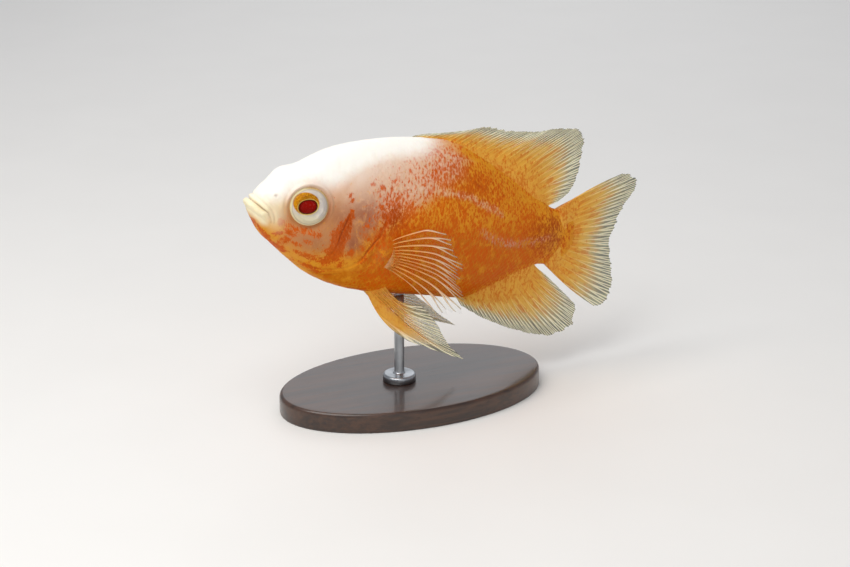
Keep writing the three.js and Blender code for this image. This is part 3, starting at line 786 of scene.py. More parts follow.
def skin_marks(f, ground, drift, cloud, fine, middle):
    """Orange and red marks over the ground: fine dots, closest on the middles of scales, and
    ragged patches."""
    speck, patch, red = f.masks("speck", "patch", "red")
    marks = f.mix((fine * 0.6 + red * 0.7 + patch * 0.15).rise(0.25, 0.75), "orange", "red")
    dots = speckle(cloud, fine) + (speck + drift * 0.8 - 0.72) * 0.22 + middle * 0.07
    shred = f.grain("shred")
    ragged = cloud * 0.4 + fine * 0.35 + shred * 0.5 - 0.635 + (patch - 0.5) * 0.26
    return f.layers(
        ground,
        (dots.rise(-0.07, 0.07) * (0.4 + fine * 0.9), marks),
        (ragged.rise(-0.03, 0.05) * (0.35 + shred * 1.1), marks),
    )


def speckle(cloud, fine):
    """Fine blobs gathered in clouds, round 0."""
    return fine * 0.62 + cloud * 0.38 - 0.5


def skin_finish(look):
    """Pale, brownish and golden grounds under ragged orange speckle, with pale-edged scales.
    The pale of the nape is partly a painted highlight and the brownish ground lower down partly
    painted shade. The pale scale edges are partly painted highlights, and the lines in the
    creases are painted shade.
    """
    f = Finish("oscar_skin", look)
    white, gold, cream, crease, scaly = f.masks("white", "gold", "cream", "crease", "scaly")
    edge = scale_edge(f)
    drift, cloud, fine = f.grain("drift") - 0.5, f.grain("cloud"), f.grain("fine")
    middle = edge.rise(0.08, 0.26) * edge.rise(0.8, 0.4) * scaly
    ground = skin_ground(f, drift, cloud, fine)
    bare = scaly * (1 - white * 0.95)
    tone = f.layers(
        skin_marks(f, ground, drift, cloud, fine, middle),
        (cream * (0.9 + drift * 0.6), "cream"),
        # The pale nape: the fish's own colour, with a painted highlight of the light from above
        ((white + (cloud - 0.5) * 0.5 * white).rise(0.05, 0.95), "white"),
        # Pale rear edges of the scales: partly the scales' own pale margins, partly painted highlights
        (edge.rise(0.13, 0.02) * bare * 0.18, f.mix(gold, "pink", "gold")),
        # Painted shade in the creases, nostril and under the eye
        (crease, "crease"),
    )
    plates = (1 - edge).rise(0, 1) * edge.rise(0, 0.09) * bare
    relief = f.bump(f.grain("pore") + fine * 0.6, 0.03, 0.5, f.bump(plates, 0.05, 0.6))
    return f.done(
        Base_Color=tone, Roughness=0.38 + fine * 0.14, Normal=relief, Subsurface_Weight=0.08,
        Subsurface_Radius=(1, 0.42, 0.22), Subsurface_Scale=1.2 * MM, Coat_Weight=0.05,
        Coat_Roughness=0.12, Specular_IOR_Level=0.05,
    )


def fin_film(f, out, reach, dash, streak):
    """The membrane: golden at the root, paler outwards, with orange flecks, and dark streaks
    near the edge that are painted shade, the darkness seen through the see-through film.
    """
    flecks = dash.rise(0.5, 0.6) * out.rise(0.9, 0.5) * out.rise(0.02, 0.25)
    # Painted shade near the edge, where the see-through film shows the darkness behind it
    dark = (dash * 0.5 + streak * 0.5).rise(0.42, 0.54) * reach.rise(0.68, 0.9)
    return f.layers(
        "base",
        (reach.rise(0.25, 0.65), "middle"),
        (reach.rise(0.5, 0.92), "edge"),
        (flecks * 0.6, "fleck"),
        (dark * 0.65, "dark"),
    )


def fin_finish(name, look, clear, forks):
    """Fine branching rays in a membrane that is more see-through towards its edge. clear goes
    from 0, a fleshy fin, to 1, a membrane of clear film with raised rays."""
    f = Finish(name, look)
    ray, root = f.masks("ray", "root")
    uv, place, out = f.along()
    dash, streak = f.grain("dash", uv), f.grain("streak", uv)
    cloud, fine = f.grain("cloud"), f.grain("fine")
    reach = out + (streak - 0.5) * 0.45
    if clear == 1:
        bone = f.mix(out.rise(0.3, 1) * 0.6, "clear_ray", "ray")
        crest = ray.rise(0.2, 0.7)
        flesh = f.mix(fine.rise(0.4, 0.6), "clear_ray", "clear_root")
    else:
        bone = f.mix(reach.rise(0.35, 0.8), "root_ray", "ray")
        off = (place - (place + 0.5).floor()).size()
        for fork, gap in zip(forks, BRANCH_GAPS):
            off = (off - out.rise(fork, fork + FORK_LENGTH) * gap).size()
        crest = (off + (dash - 0.5) * 0.05).rise(0.09, 0.025)
        flesh = f.mix(fine.rise(0.4, 0.6) * 0.3, "base", "fleck")
    dots = speckle(cloud, fine) + (0.14 - out) * 0.26
    tone = f.layers(
        fin_film(f, out, reach, dash, streak),
        (crest * (0.4 + 0.55 * reach.rise(0.2, 0.7)), bone),
        (root * 0.8, flesh),
        (dots.rise(-0.04, 0.07) * (0.4 + fine * 0.8) * (1 - clear), "fleck"),
    )
    open_share = reach.rise(0.1, 1) * 0.35 * (1 - clear) + clear * 0.97
    return f.done(
        Base_Color=tone, Roughness=0.4 + fine * 0.14, Normal=f.bump(fine, 0.04, 0.4),
        Alpha=1 - open_share * (1 - crest) * (1 - root), Subsurface_Weight=0.1,
        Subsurface_Radius=(1, 0.6, 0.3), Subsurface_Scale=0.6 * MM, Coat_Weight=0.05,
        Coat_Roughness=0.2, Specular_IOR_Level=0.1,
    )


def eye_finish(look):
    """Deep red pupil, golden inner iris, pearly outer iris and a cream rim."""
    f = Finish("oscar_eye", look)
    pupil, deep, gold, rim, outer, line = f.masks("pupil", "deep", "gold", "rim", "outer", "line")
    strands, cloud = f.grain("iris"), f.grain("pearl")
    tone = f.layers(
        "pearl_shade",
        (strands.rise(0.35, 0.65), "pearl"),
        (cloud.rise(0.48, 0.7) * 0.6, "pearl_light"),
        (outer, "cream"),
        (gold, f.mix(strands.rise(0.42, 0.62), "brown", "gold")),
        (line * 0.4, "line"),
        (rim, "rim"),
        (pupil, f.mix(deep, "pupil_edge", "pupil")),
    )
    relief = f.bump(strands, 0.015, 0.5)
    return f.done(Base_Color=tone, Roughness=0.4, Normal=relief, Specular_IOR_Level=0.05)


def cornea_finish():
    """Clear wet film: see-through, with a mirror gloss that grows towards the edge of sight."""
    f = Finish("oscar_cornea")
    nodes = f.tree.nodes
    nodes.remove(f.shader)
    clear = f.add("ShaderNodeBsdfTransparent")
    gloss = f.add("ShaderNodeBsdfGlossy", {}, {"Color": (1, 1, 1), "Roughness": 0.03})
    facing = f.add("ShaderNodeLayerWeight", {}, {"Blend": 0.5}, output="Facing")
    both = f.add("ShaderNodeMixShader", {}, {0: facing**4 * 0.2 + 0.002, 1: clear, 2: gloss})
    f.tree.links.new(both.socket, nodes["Material Output"].inputs["Surface"])
    return f.material


def wood_finish(look):
    """Dark lacquered hardwood with its grain along the base."""
    f = Finish("dark_wood", look)
    bend, fibre, band, pore = (f.grain(name) for name in ("bend", "fibre", "band", "wood_pore"))
    pores = pore.rise(0.62, 0.7) * 0.6
    figure = fibre * 0.55 + band * 0.45 + (bend - 0.5) * 0.15
    return f.done(
        Base_Color=f.layers("grain", (figure.rise(0.38, 0.62), "wood"), (pores, "pore")),
        Roughness=0.3 + fibre * 0.2, Normal=f.bump(fibre * 0.6 - pores, 0.05, 0.5),
        Coat_Weight=0.5, Coat_Roughness=0.12,
    )


def steel_finish(look):
    """Satin steel, polished round the rod."""
    f = Finish("satin_steel", look)
    rings, smudge = f.grain("rings"), f.grain("smudge")
    return f.done(
        Base_Color=f.mix(smudge.rise(0.35, 0.7), "steel_shade", "steel"), Metallic=1,
        Roughness=0.2 + rings * 0.16 + smudge * 0.08, Normal=f.bump(rings, 0.01, 0.4),
    )


def floor_finish(look):
    """Plain pale matt floor."""
    f = Finish("pale_floor", look)
    return f.done(Base_Color=f.mix(f.grain("floor") * 0.2, "floor", "floor_shade"), Roughness=0.7)


# Skin


def body_grid():
    """Stations along the body, close together on the head, and turns round it, evenly spaced
    along the fullest section."""
    x = np.concatenate([np.arange(*part) for part in HEAD_STATIONS] + [np.linspace(*REAR_STATIONS)])
    fine = np.linspace(0, 2 * math.pi, 4001)
    wide, high = FULL_SECTION
    run = np.hypot(np.diff(wide * np.sin(fine)), np.diff(high * np.cos(fine)))
    travelled = np.concatenate([[0], np.cumsum(run)])
    turns = np.interp(np.linspace(0, travelled[-1], TURNS + 1)[:-1], travelled, fine)
    return x[:, None], turns[None, :]


def section(x, turn):
    """A rounded oval at x: y = w sgn(s)|s|^(2/p), z = m + h sgn(c)|c|^(2/p), with s and c the
    sine and cosine of the turn from the top, and its own height h and power p above and below."""
    s, c = np.sin(turn), np.cos(turn)
    middle = middle_at(x)
    height = np.where(c > 0, back_at(x) - middle, middle - belly_at(x))
    power = np.where(c > 0, top_power(x), bottom_power(x))
    y = width_at(x) * np.sign(s) * np.abs(s) ** (2 / power)
    z = middle + height * np.sign(c) * np.abs(c) ** (2 / power)
    return np.broadcast_to(x, z.shape), y, z


def normals(points):
    """Unit normals of a grid that is closed round its second way: the cross product of the
    differences along both ways, turned outwards."""
    around = np.roll(points, -1, axis=1) - np.roll(points, 1, axis=1)
    along = np.gradient(points, axis=0)
    n = np.cross(along, around)
    n /= np.linalg.norm(n, axis=2, keepdims=True) + 1e-12
    return n * np.sign((n[..., 1] * points[..., 1]).sum())


def scale_height(u, v):
    """Overlapping round scales in staggered rows, u and v in scale pitches. Each is a disc that
    rises to its free rear edge. Discs are laid from the rear forwards, so the front one shows."""
    row = np.round(v / SCALE_ROWS)
    column = np.floor(u)
    height = np.zeros(u.shape)
    for half_steps in (3, 2, 1, 0, -1, -2):
        for offset in (-1, 0, 1):
            this_row = row + offset
            fits = np.mod(this_row, 2) == half_steps % 2
            du = u - (column + half_steps * 0.5)
            away = np.hypot(du, v - this_row * SCALE_ROWS)
            cover = step(away, SCALE_RADIUS, SCALE_RADIUS - SCALE_LIP) * fits
            rise = SCALE_START + (1 - SCALE_START) * step(du, -SCALE_RADIUS, SCALE_RADIUS)
            height = height * (1 - cover) + cover * rise
    return height


def eye_frame(x, y, z):
    """Places in the frame of the eye on that side: back and up in its plane, and out along its
    axis, which leans forward by EYE['lean']."""
    c, s = math.cos(EYE["lean"]), math.sin(EYE["lean"])
    dx, dy = x - EYE["x"], np.abs(y) - EYE["side"]
    return dx * c + dy * s, z - EYE["z"], dy * c - dx * s


def fold(x, z, line, depth, width, bank):
    """A groove along a line with low banks on both sides, fading out at the line's ends."""
    away, _, share = beside(line, x, z)
    banks = bank * hump(away - 2 * width, 1.6 * width)
    return span(share, 0, 0.18, 0.82, 1) * depth * (banks - hump(away, width))


def head_relief(x, z):
    """Rise of the head over the plain body, in mm: lips, folds, nostril, brow and gill cover."""
    mouth, above, share = beside(MOUTH, x, z)
    closed = step(share, 1, 0.75)
    upper = 0.4 * hump(mouth - 0.7, 0.6) * (above > 0)
    lower = 0.75 * hump(mouth - 1.2, 1) * (above < 0)
    rise = (upper + lower) * (0.2 + 0.8 * closed) - 0.75 * hump(mouth, 0.24) * closed
    rise += sum(fold(x, z, *groove) for groove in FOLDS)
    pit = np.hypot(x - NOSTRIL[0], z - NOSTRIL[1])
    rise += 0.1 * hump(pit - 0.7, 0.3) - 0.3 * hump(pit, 0.34)
    rise += blots(x, z, BROW_AND_CHEEK)
    away, ahead, share = beside(GILL_EDGE, x, z)
    ends = span(share, 0, 0.25, 0.8, 1) * (0.35 + 0.65 * hump(share - 0.42, 0.22))
    cover = 0.42 * step(-ahead, 0.15, -0.4) * hump(away, 3.2)
    return rise + ends * (cover - 0.22 * hump(away, 0.24))


def flank_relief(x, y, z, u):
    """Rise of the flank, in mm: a tube on each scale of the two lateral lines, the pad of the
    pectoral fin, the ridges that the middle fins stand on and the pelvic fins' roots."""
    rise = blots(x, z, PECTORAL_PAD)
    for line, _, _ in LATERAL_LINES:
        away, _, share = beside(line, x, z)
        tubes = 0.55 + 0.45 * np.cos(2 * math.pi * u)
        rise += 0.16 * hump(away, 0.38) * span(share, 0, 0.08, 0.9, 1) * tubes
    on_back = span(x, 50, 62, 96, 101) * (z > 0)
    on_belly = span(x, 72, 78, 96, 101) * (z < 0)
    rise += hump(y, 1.5) * (on_back + on_belly)
    rise += 0.5 * hump(x - 43, 2.6) * hump(np.abs(y) - 4, 2.2) * (z < -15)
    return rise


def sink_round_eye(x, y, z):
    """The skin dips to the eyeball all round it, with a soft fleshy rim outside that is highest
    over the eye. The dip and rim are set along the eye's axis."""
    back, up, out = eye_frame(x, y, z)
    r = np.hypot(back, up)
    near = step(r, *EYE_BED) * (np.abs(y) > 2) * (x < 30)
    bed = 0.95 - 0.25 * step(r, 5.4, 4.6)
    rim = 0.5 * hump(r - EYE_RIM, 0.5) * (1 + 0.6 * up / (r + 0.1))
    shift = out * (1 - near) + bed * near + rim * (out > -2) * (r < 9) - out
    c, s = math.cos(EYE["lean"]), math.sin(EYE["lean"])
    return x - shift * s, y + shift * c * np.sign(y), z


def ground_masks(x, z):
    """Where the ground is pale, brownish, golden, amber and cream, from 0 to 1. The pale nape
    is partly a painted highlight of the light from above. The brownish ground, darker towards the
    bottom, is partly painted shade.
    """
    under_dorsal = step(z - back_at(x), -5, -0.5) * span(x, 47, 70, 96, 104)
    gold = np.maximum(0.95 * step(-beside(START_OF_GOLD, x, z)[1], -6, 7), under_dorsal)
    gold = np.maximum(gold, blots(x, z, BEFORE_EYE))
    gold = np.maximum(gold, 0.8 * step(x, 15, 8) * step(z, -1, -5))
    amber = step(z - 0.12 * (x - 60), 8, -6) * span(x, 27, 42, 92, 108)
    amber = np.maximum(amber, 0.7 * step(z, -12, -18) * span(x, 16, 30, 40, 60))
    amber *= 1 - 0.85 * step(-z - 0.86 * np.abs(belly_at(x)), -1.5, 1.5) * step(x, 76, 84)
    # Pale nape and back, partly a painted highlight of the light from above, palest at the top
    white = step(beside(EDGE_OF_WHITE_AND_HIGHLIGHT, x, z)[1], -5, 4) * step(x, 66, 46)
    behind = -beside(START_OF_ORANGE, x, z)[1]
    white = np.maximum(white, 0.5 * step(behind, 5, -12) * step(z, 2, 14) * step(x, 22, 30))
    lips = step(beside(MOUTH, x, z)[0], 4.5, 2.5) * step(x, 8, 4)
    cream = np.maximum(0.75 * step(x, 12, 6) * step(z + 0.5 * x, -4.5, 1), lips)
    speck = 0.5 * step(behind, -9, 6) * (1 - 0.35 * under_dorsal) + blots(x, z, SPECKLED)
    # Brownish ground growing towards the bottom: partly painted shade of the light from above
    tan = step(z + 0.12 * (x - 20), 13.5, -4)
    return {"white": white, "tan": tan, "gold": gold, "amber": amber, "cream": cream, "speck": speck}


def mark_masks(x, y, z):
    """Where the pale bands, patches, red and mauve are, and the painted shade in the creases, the
    nostril and under the eye, from 0 to 1.
    """
    bands, patch, crease = np.zeros((3, *x.shape))
    for line, width, most in LATERAL_LINES:
        away, _, share = beside(line, x, z)
        bands += most * hump(away, width) * span(share, 0, 0.12, 0.8, 1)
    for line, first, last, weight in STREAKS:
        away, _, share = beside(line, x, z)
        width = first + (last - first) * step(share, 0, 0.6)
        streak = weight * np.exp(-((away / width) ** 2.5)) * step(share, 0, 0.05)
        patch = np.maximum(patch, streak)
    patch = np.maximum(patch, blots(x, z, HEAD_SPOTS, np.maximum))
    # Painted shade along the creases and grooves
    for line, depth, width, first, last in CREASE_SHADES:
        away, _, share = beside(line, x, z)
        ends = span(share, first, first + 0.15, last - 0.15, last)
        crease = np.maximum(crease, depth * hump(away, width) * ends)
    # Painted shade in the nostril and a painted shadow under the eye
    pit = np.hypot(x - NOSTRIL[0], z - NOSTRIL[1])
    back, up, _ = eye_frame(x, y, z)
    below = step(up - 0.6 * back, 3, -3) * (np.abs(y) > 2)
    shadow_under_eye = 0.3 * hump(np.hypot(back, up) - 6.1, 0.5) * below
    crease = np.maximum(crease, np.maximum(0.35 * hump(pit, 0.5), shadow_under_eye))
    red, mauve = blots(x, z, RED), blots(x, z, MAUVE)
    return {"bands": bands, "patch": patch, "red": red, "mauve": mauve, "crease": crease}


def skin_masks(x, y, z, scaly):
    """All masks of the skin, from 0 to 1. The pale bands break the speckle."""
    masks = {**ground_masks(x, z), **mark_masks(x, y, z), "scaly": scaly}
    masks["speck"] = masks["speck"] - 0.3 * masks["bands"]
    return {key: np.clip(value, 0, 1) for key, value in masks.items()}


def scale_grid(x, y, z, pitch):
    """Scale pitches from the snout, summed along the body, and down from the middle of the side,
    measured round the section."""
    u = np.cumsum(np.diff(x, axis=0, prepend=x[:1]) / pitch, axis=0)
    lengths = np.hypot(np.diff(y, axis=1, append=y[:, :1]), np.diff(z, axis=1, append=z[:, :1]))
    round_ring = np.cumsum(lengths, axis=1) - lengths
    quarter = TURNS // 4
    right = round_ring - round_ring[:, quarter : quarter + 1]
    left = round_ring[:, 3 * quarter : 3 * quarter + 1] - round_ring
    from_side = np.where(np.arange(TURNS) < 2 * quarter, right, left)
    return u, from_side / pitch + SCALE_SHIFT


def narrow_rear(x, y, z):
    """The tail's root thinned to a rounded edge that fits inside the tail fin."""
    rim = tail_root_x(z) + 2.2
    thin = step(x, rim - 9.5, rim - 0.5)
    half = dome(z, 10.5, 0.05)
    y = y * (1 - thin) + np.sign(y) * np.minimum(np.abs(y), half) * thin
    return y * step(x, rim + 2.5, rim - 1) ** 0.5


def add_skin(look):
    """One closed skin over the whole body, from the lips to the root of the tail fin."""
    x, turn = body_grid()
    x, y, z = section(x, turn)
    across = np.stack([x, y, z], axis=-1)
    depth = (back_at(x) - belly_at(x)) / FULL_DEPTH
    pitch = look.scale_pitch / MM * np.clip(depth, 0.25, 1) ** 0.35
    u, v = scale_grid(x, y, z, pitch)
    on_nape = step(z, 15, 22) * step(x, 48, 38)
    scaly = span(x, 31, 36, 105, 111) * (1 - 0.75 * on_nape)
    scaly = np.maximum(scaly, blots(x, z, SCALY_CHEEK) * step(x, 16, 20))
    relief = head_relief(x, z) * step(x, 46, 41) + flank_relief(x, y, z, u)
    relief += look.scale_rise / MM * (scale_height(u, v) - 0.6) * scaly
    relief += UNEVEN * noise(x.shape, UNEVEN_SEED, UNEVEN_CELLS)
    placed = across + normals(across) * relief[..., None]
    px, py, pz = sink_round_eye(placed[..., 0], placed[..., 1], placed[..., 2])
    px = px + 0.8 * step(px, 5, -1)
    py = narrow_rear(px, py, pz)
    end_x = np.array([px[0].mean() - 0.05, px[-1].mean()])
    ends = to_model(end_x, np.zeros(2), np.array([pz[0].mean(), pz[-1].mean()]))
    points = np.concatenate([to_model(px, py, pz), ends])
    masks = {
        key: np.append(value.ravel(), [value[0].mean(), value[-1].mean()])
        for key, value in skin_masks(x, y, z, scaly).items()
    }
    uv = np.stack([u.ravel(), (v / SCALE_ROWS).ravel()], axis=-1)
    uv = np.concatenate([uv, uv[:1], uv[-1:]])
    finish = skin_finish(look)
    piece("skin", points, capped(*x.shape), finish, masks, uv, FISH_NODES)


# Eyes


def lens_shell(side, radius, front, rear, rings, turns):
    """A closed round shell in the frame of the eye, with its outer and inner faces at front(r)
    and rear(r) over the eye's centre. Returns its points in the model's frame, its faces, and
    how far back and up the points are in the eye's plane."""
    r = radius * np.sin(np.linspace(0, math.pi / 2, rings))[1:]
    angle = np.linspace(0, 2 * math.pi, turns, endpoint=False)
    out = np.concatenate([front(r), rear(r[-2::-1])])
    r = np.concatenate([r, r[-2::-1]])[:, None]
    back = np.append(r * np.cos(angle), [0, 0])
    up = np.append(r * np.sin(angle), [0, 0])
    out = np.append(np.repeat(out, turns), [front(0), rear(0)])
    c, s = math.cos(EYE["lean"]), math.sin(EYE["lean"])
    x = EYE["x"] + back * c - out * s
    y = side * (EYE["side"] + back * s + out * c)
    return to_model(x, y, EYE["z"] + up), capped(len(r), turns), back, up


def ball(r):
    """Height of the plain eyeball over its centre."""
    return EYE["depth"] * dome(r, EYE["radius"] + 0.02)


def eyeball_front(r):
    """Front of the eyeball over its centre: the plain ball at the outer ring, a shelf for the
    iris that is hollowed towards the pupil, and the lens as a low dome in the pupil."""
    iris = 2.42 + 0.1 * (r - 2.2) + 0.12 * hump(r - 3.75, 0.3)
    lens = 2.3 + 0.45 * dome(r, 2.7)
    in_iris = step(r, 2.3, 2.8)
    shelf = iris * in_iris + lens * (1 - in_iris)
    outer = step(r, 3.6, 4.4)
    return shelf * (1 - outer) + (ball(r) - 0.1 * hump(r - 5.1, 0.22)) * outer


def cornea_front(r):
    """Outside of the clear cornea, just over the eyeball."""
    return (EYE["depth"] + CORNEA["gap"]) * dome(r, CORNEA["curve"])


def eye_masks(back, up):
    """Pupil, iris and rings of the eye. The pupil is an oval |a|^p + |b|^p = 1, tilted and a
    little off the middle, in a golden ring that is wider in front of it and above."""
    tilt, p = PUPIL["tilt"], PUPIL["power"]
    along, over = back - PUPIL["back"], up - PUPIL["up"]
    a = np.abs(along * math.cos(tilt) + over * math.sin(tilt)) / PUPIL["half"][0]
    b = np.abs(over * math.cos(tilt) - along * math.sin(tilt)) / PUPIL["half"][1]
    oval = (a**p + b**p) ** (1 / p)
    r = np.hypot(back, up)
    crescent = np.hypot((back + 1.3) / 3.8, (up - 0.9) / 3.3)
    rear_top = hump(r - 5.45, 0.3) * step(back + up, 1.5, 5)
    return {
        "pupil": step(oval, 1.03, 0.97),
        "deep": step(oval, 1, 0.7) * (0.8 + 0.2 * step(up, -1, 1)),
        "rim": hump(oval - 1.06, 0.045) * (0.55 + 0.45 * step(back - up, -1, 2.5)),
        "gold": np.maximum(step(crescent, 1.04, 0.96), 0.6 * rear_top),
        "outer": np.maximum(step(r, 4.9, 5.4), 0.6 * step(up, -1.5, -3.5)),
        "line": hump(r - 5.1, 0.14),
    }


def add_eyes(look):
    """Two eyeballs with painted irises under clear corneas."""
    finish, wet = eye_finish(look), cornea_finish()
    rings, turns = 96, 160
    in_front = np.append(np.arange((2 * rings - 3) * turns) < (rings - 1) * turns, [True, False])
    for side, name in ((-1, "left"), (1, "right")):
        points, faces, back, up = lens_shell(
            side, EYE["radius"], eyeball_front, lambda r: -ball(r), rings, turns
        )
        masks = {key: value * in_front for key, value in eye_masks(back, up).items()}
        eye = [f"eye_{name}"]
        piece(f"eyeball_{name}", points, faces, finish, masks, replaces=eye)
        points, faces, _, _ = lens_shell(
            side, CORNEA["edge"], cornea_front, lambda r: cornea_front(r) - CORNEA["thick"], 24, 96
        )
        piece(f"cornea_{name}", points, faces, wet)


# Fins


def ray_pattern(t, row, count, forks, width):
    """Ridges of the rays: exp(-(distance to the nearest branch / width) squared). Each ray runs
    along t = k / (count - 1), and its branches part at the given shares of its length."""
    place = t * (count - 1)
    off = np.abs(place - np.round(place))
    for fork, gap in zip(forks, BRANCH_GAPS):
        off = np.abs(off - gap * step(row, fork, min(1, fork + FORK_LENGTH)))
    return hump(off, width * (1 - RAY_NARROWING * row))


def fringe(t, form, branches):
    """How far each part of the edge reaches: short between the branches, a little uneven."""
    count, depth = form["rays"], form["tooth"]
    uneven = np.random.default_rng(form["seed"]).uniform(-1, 1, count * branches + 2)
    place = t * (count - 1) * branches
    tooth = np.abs(place - np.round(place)) * 2
    uneven = np.interp(place, np.arange(len(uneven)), uneven)
    return 1 - depth * tooth * (0.6 + 0.4 * uneven) - 0.7 * depth * uneven


def fin_grid(form, columns):
    """Shares of the way along a fin, so many columns a ray, and of the way out to its edge."""
    t = np.linspace(0, 1, columns * (form["rays"] - 1) + 1)[:, None]
    return t, np.linspace(0, 1, form["steps"])[None, :]


def fin_sheet(node, form, finish, t, row, middle, lean, pattern, root, pinch=1):
    """A closed sheet: its middle plus and minus half its thickness along lean, joined round its
    border. Flesh thickens its root, rays rise out of it as pattern says, it thins towards its
    edge, and pinch scales it. root is where flesh hides the rays."""
    start, amount = form["taper"]
    low, bare = form["ray"]
    sheath = step(row, *form["sheath"])
    taper = 1 - amount * step(row, start, 1)
    half = (form["film"] + form["flesh"] * sheath ** form["power"]) * taper * pinch
    ridge = (low + bare * (1 - sheath)) * pattern * taper
    thick = half + ridge
    sides = [to_model(*(m + s * n * thick for m, n in zip(middle, lean))) for s in (1, -1)]
    columns, rows = thick.shape
    size = columns * rows
    quads = grid_faces(columns, rows)
    index = np.arange(size).reshape(columns, rows)
    border = np.concatenate([index[:, 0], index[-1, 1:], index[-2::-1, -1], index[0, -2:0:-1]])
    after = np.roll(border, -1)
    faces = quads + [[q + size for q in face[::-1]] for face in quads]
    faces += np.stack([after, border, border + size, after + size], -1).tolist()
    rays = np.clip(ridge / (ridge.max() + 1e-9), 0, 1)
    root = np.broadcast_to(np.clip(root, 0, 1), thick.shape)
    masks = {"ray": np.tile(rays.ravel(), 2), "root": np.tile(root.ravel(), 2)}
    place = t * (form["rays"] - 1)
    uv = np.stack(np.broadcast_arrays(place, row), -1).reshape(-1, 2)
    points, uv = np.concatenate(sides), np.tile(uv, (2, 1))
    piece(f"{node}_rays", points, faces, finish, masks, uv, [node])


def add_median_fin(node, form, edge_at, look, finish):
    """Fin in the middle plane: point = root + reach (tip - root) with a little sag. The rays of
    its first part are spines, which don't fork and stand out of the edge."""
    count, spiny = form["rays"], form["spiny"]
    t, row = fin_grid(form, look.rays_per_side)
    x0, x1, z1 = (through(form["table"], c)(t) for c in (1, 2, 3))
    z0 = edge_at(x0) - form["sunk"] * np.sign(edge_at(x0[-1]))
    spiny = step(t, spiny, spiny - 0.03)
    tooth = np.abs(t * (count - 1) - np.round(t * (count - 1))) * 2
    edge = fringe(t, form, 4) * (1 - spiny) + (1 - form["spine_tooth"] * tooth) * spiny
    reach = row * edge
    sag = RAY_SAG * (x1 - x0) * np.sin(math.pi * reach) * np.sign(z0)
    slow, fast = form["ripple"]
    ripple = slow * np.sin(t * 17 + 0.6) + fast * np.sin(t * 41)
    middle = x0 + (x1 - x0) * reach, reach**1.5 * ripple, z0 + (z1 - z0) * reach + sag
    soft = ray_pattern(t, row, count, form["forks"], form["width"])
    stiff = ray_pattern(t, row, count, (), form["spine_width"])
    pattern = soft * (1 - spiny) + stiff * spiny
    root = step(row, 0.42 - 0.15 * spiny, 0.14)
    pinch = step(row, -0.2, 0.02)
    fin_sheet(node, form, finish, t, row, middle, (0, 1, 0), pattern, root, pinch)


def tail_root_x(z):
    """Rear edge of the tail's root: an arc in side view."""
    return TAIL_ROOT["middle"] - (TAIL_ROOT["middle"] - TAIL_ROOT["edge"]) * (z / 9) ** 2


def add_tail_fin(look, finish):
    """The tail fin: rays fan out from the arc of its root to its tips, cupped to one side."""
    t, row = fin_grid(TAIL, int(look.rays_per_side * TAIL["finer"]))
    x1, z1 = (through(TAIL_TIPS, c)(t) for c in (1, 2))
    z0 = TAIL_ROOT["top"] + (TAIL_ROOT["bottom"] - TAIL_ROOT["top"]) * t
    x0 = tail_root_x(z0) - TAIL["sunk"]
    reach = row * fringe(t, TAIL, 4)
    bow = TAIL_ROOT["bow"] * (1 - 2 * t) * np.sin(math.pi * reach)
    cup = TAIL_ROOT["cup"] * np.sin(math.pi * t) + TAIL["ripple"] * np.sin(t * 24)
    middle = x0 + (x1 - x0) * reach, cup * reach**2, z0 + (z1 - z0) * reach + bow
    pattern = ray_pattern(t, row, TAIL["rays"], TAIL["forks"], TAIL["width"])
    root = step(row, 0.3, 0.06)
    fin_sheet("tail_fin", TAIL, finish, t, row, middle, (0, 1, 0), pattern, root)


def add_paired_fin(node, form, side, finish):
    """A paired fin: rays from a short root to their tips, bowed, with tips that curl down."""
    t, row = fin_grid(form, form["columns"])
    root, tip = ([through(form[end], c)(t) for c in (1, 2, 3)] for end in ("root", "tips"))
    reach = row * fringe(t, form, 2)
    swing = np.sin(math.pi * reach)
    x, y, z = (a + (b - a) * reach + c * swing for a, b, c in zip(root, tip, form["bow"]))
    y = y + form["ripple"] * reach**2 * np.sin(t * 19)
    z = z - form["curl"] * step(reach, 0.55, 1.05)
    across = [c[-1, 0] - c[0, 0] for c in root]
    along = [b[len(b) // 2, 0] - a[len(a) // 2, 0] for a, b in zip(root, tip)]
    normal = np.cross(across, along)
    normal /= np.linalg.norm(normal)
    pattern = ray_pattern(t, row, form["rays"], form["forks"], form["width"])
    lead = form["lead"] * step(t, 0.3, 0.05) * step(row, 1, 0.4)
    fleshy = np.maximum(step(row, 0.12, 0.02), lead)
    lean = (normal[0], side * normal[1], normal[2])
    fin_sheet(node, form, finish, t, row, (x, side * y, z), lean, pattern, fleshy)


# Stand


def rounded(radius, high, bend, count):
    """Quarter circle that rounds an outer top edge, as [radius, height] points."""
    turns = np.linspace(math.pi / 2, 0, count)
    return [[radius + bend * (math.sin(a) - 1), high + bend * (math.cos(a) - 1)] for a in turns]


def turned(node, name, profile, ratio, centre, finish, sides):
    """A solid of revolution about a vertical axis, from [radius, height] points in mm that
    start and end on the axis. Its width is its length times ratio."""
    p = np.array(profile, float)
    angle = np.linspace(0, 2 * math.pi, sides, endpoint=False)
    ring = p[1:-1]
    x = ring[:, :1] * np.cos(angle) + centre
    y = ring[:, :1] * np.sin(angle) * ratio
    z = ring[:, 1:] * np.ones_like(angle)
    points = np.stack([x, y, z], -1).reshape(-1, 3)
    points = np.concatenate([points, [[centre, 0, p[0, 1]], [centre, 0, p[-1, 1]]]]) * MM
    piece(name, points, capped(len(ring), sides), finish, replaces=[node])


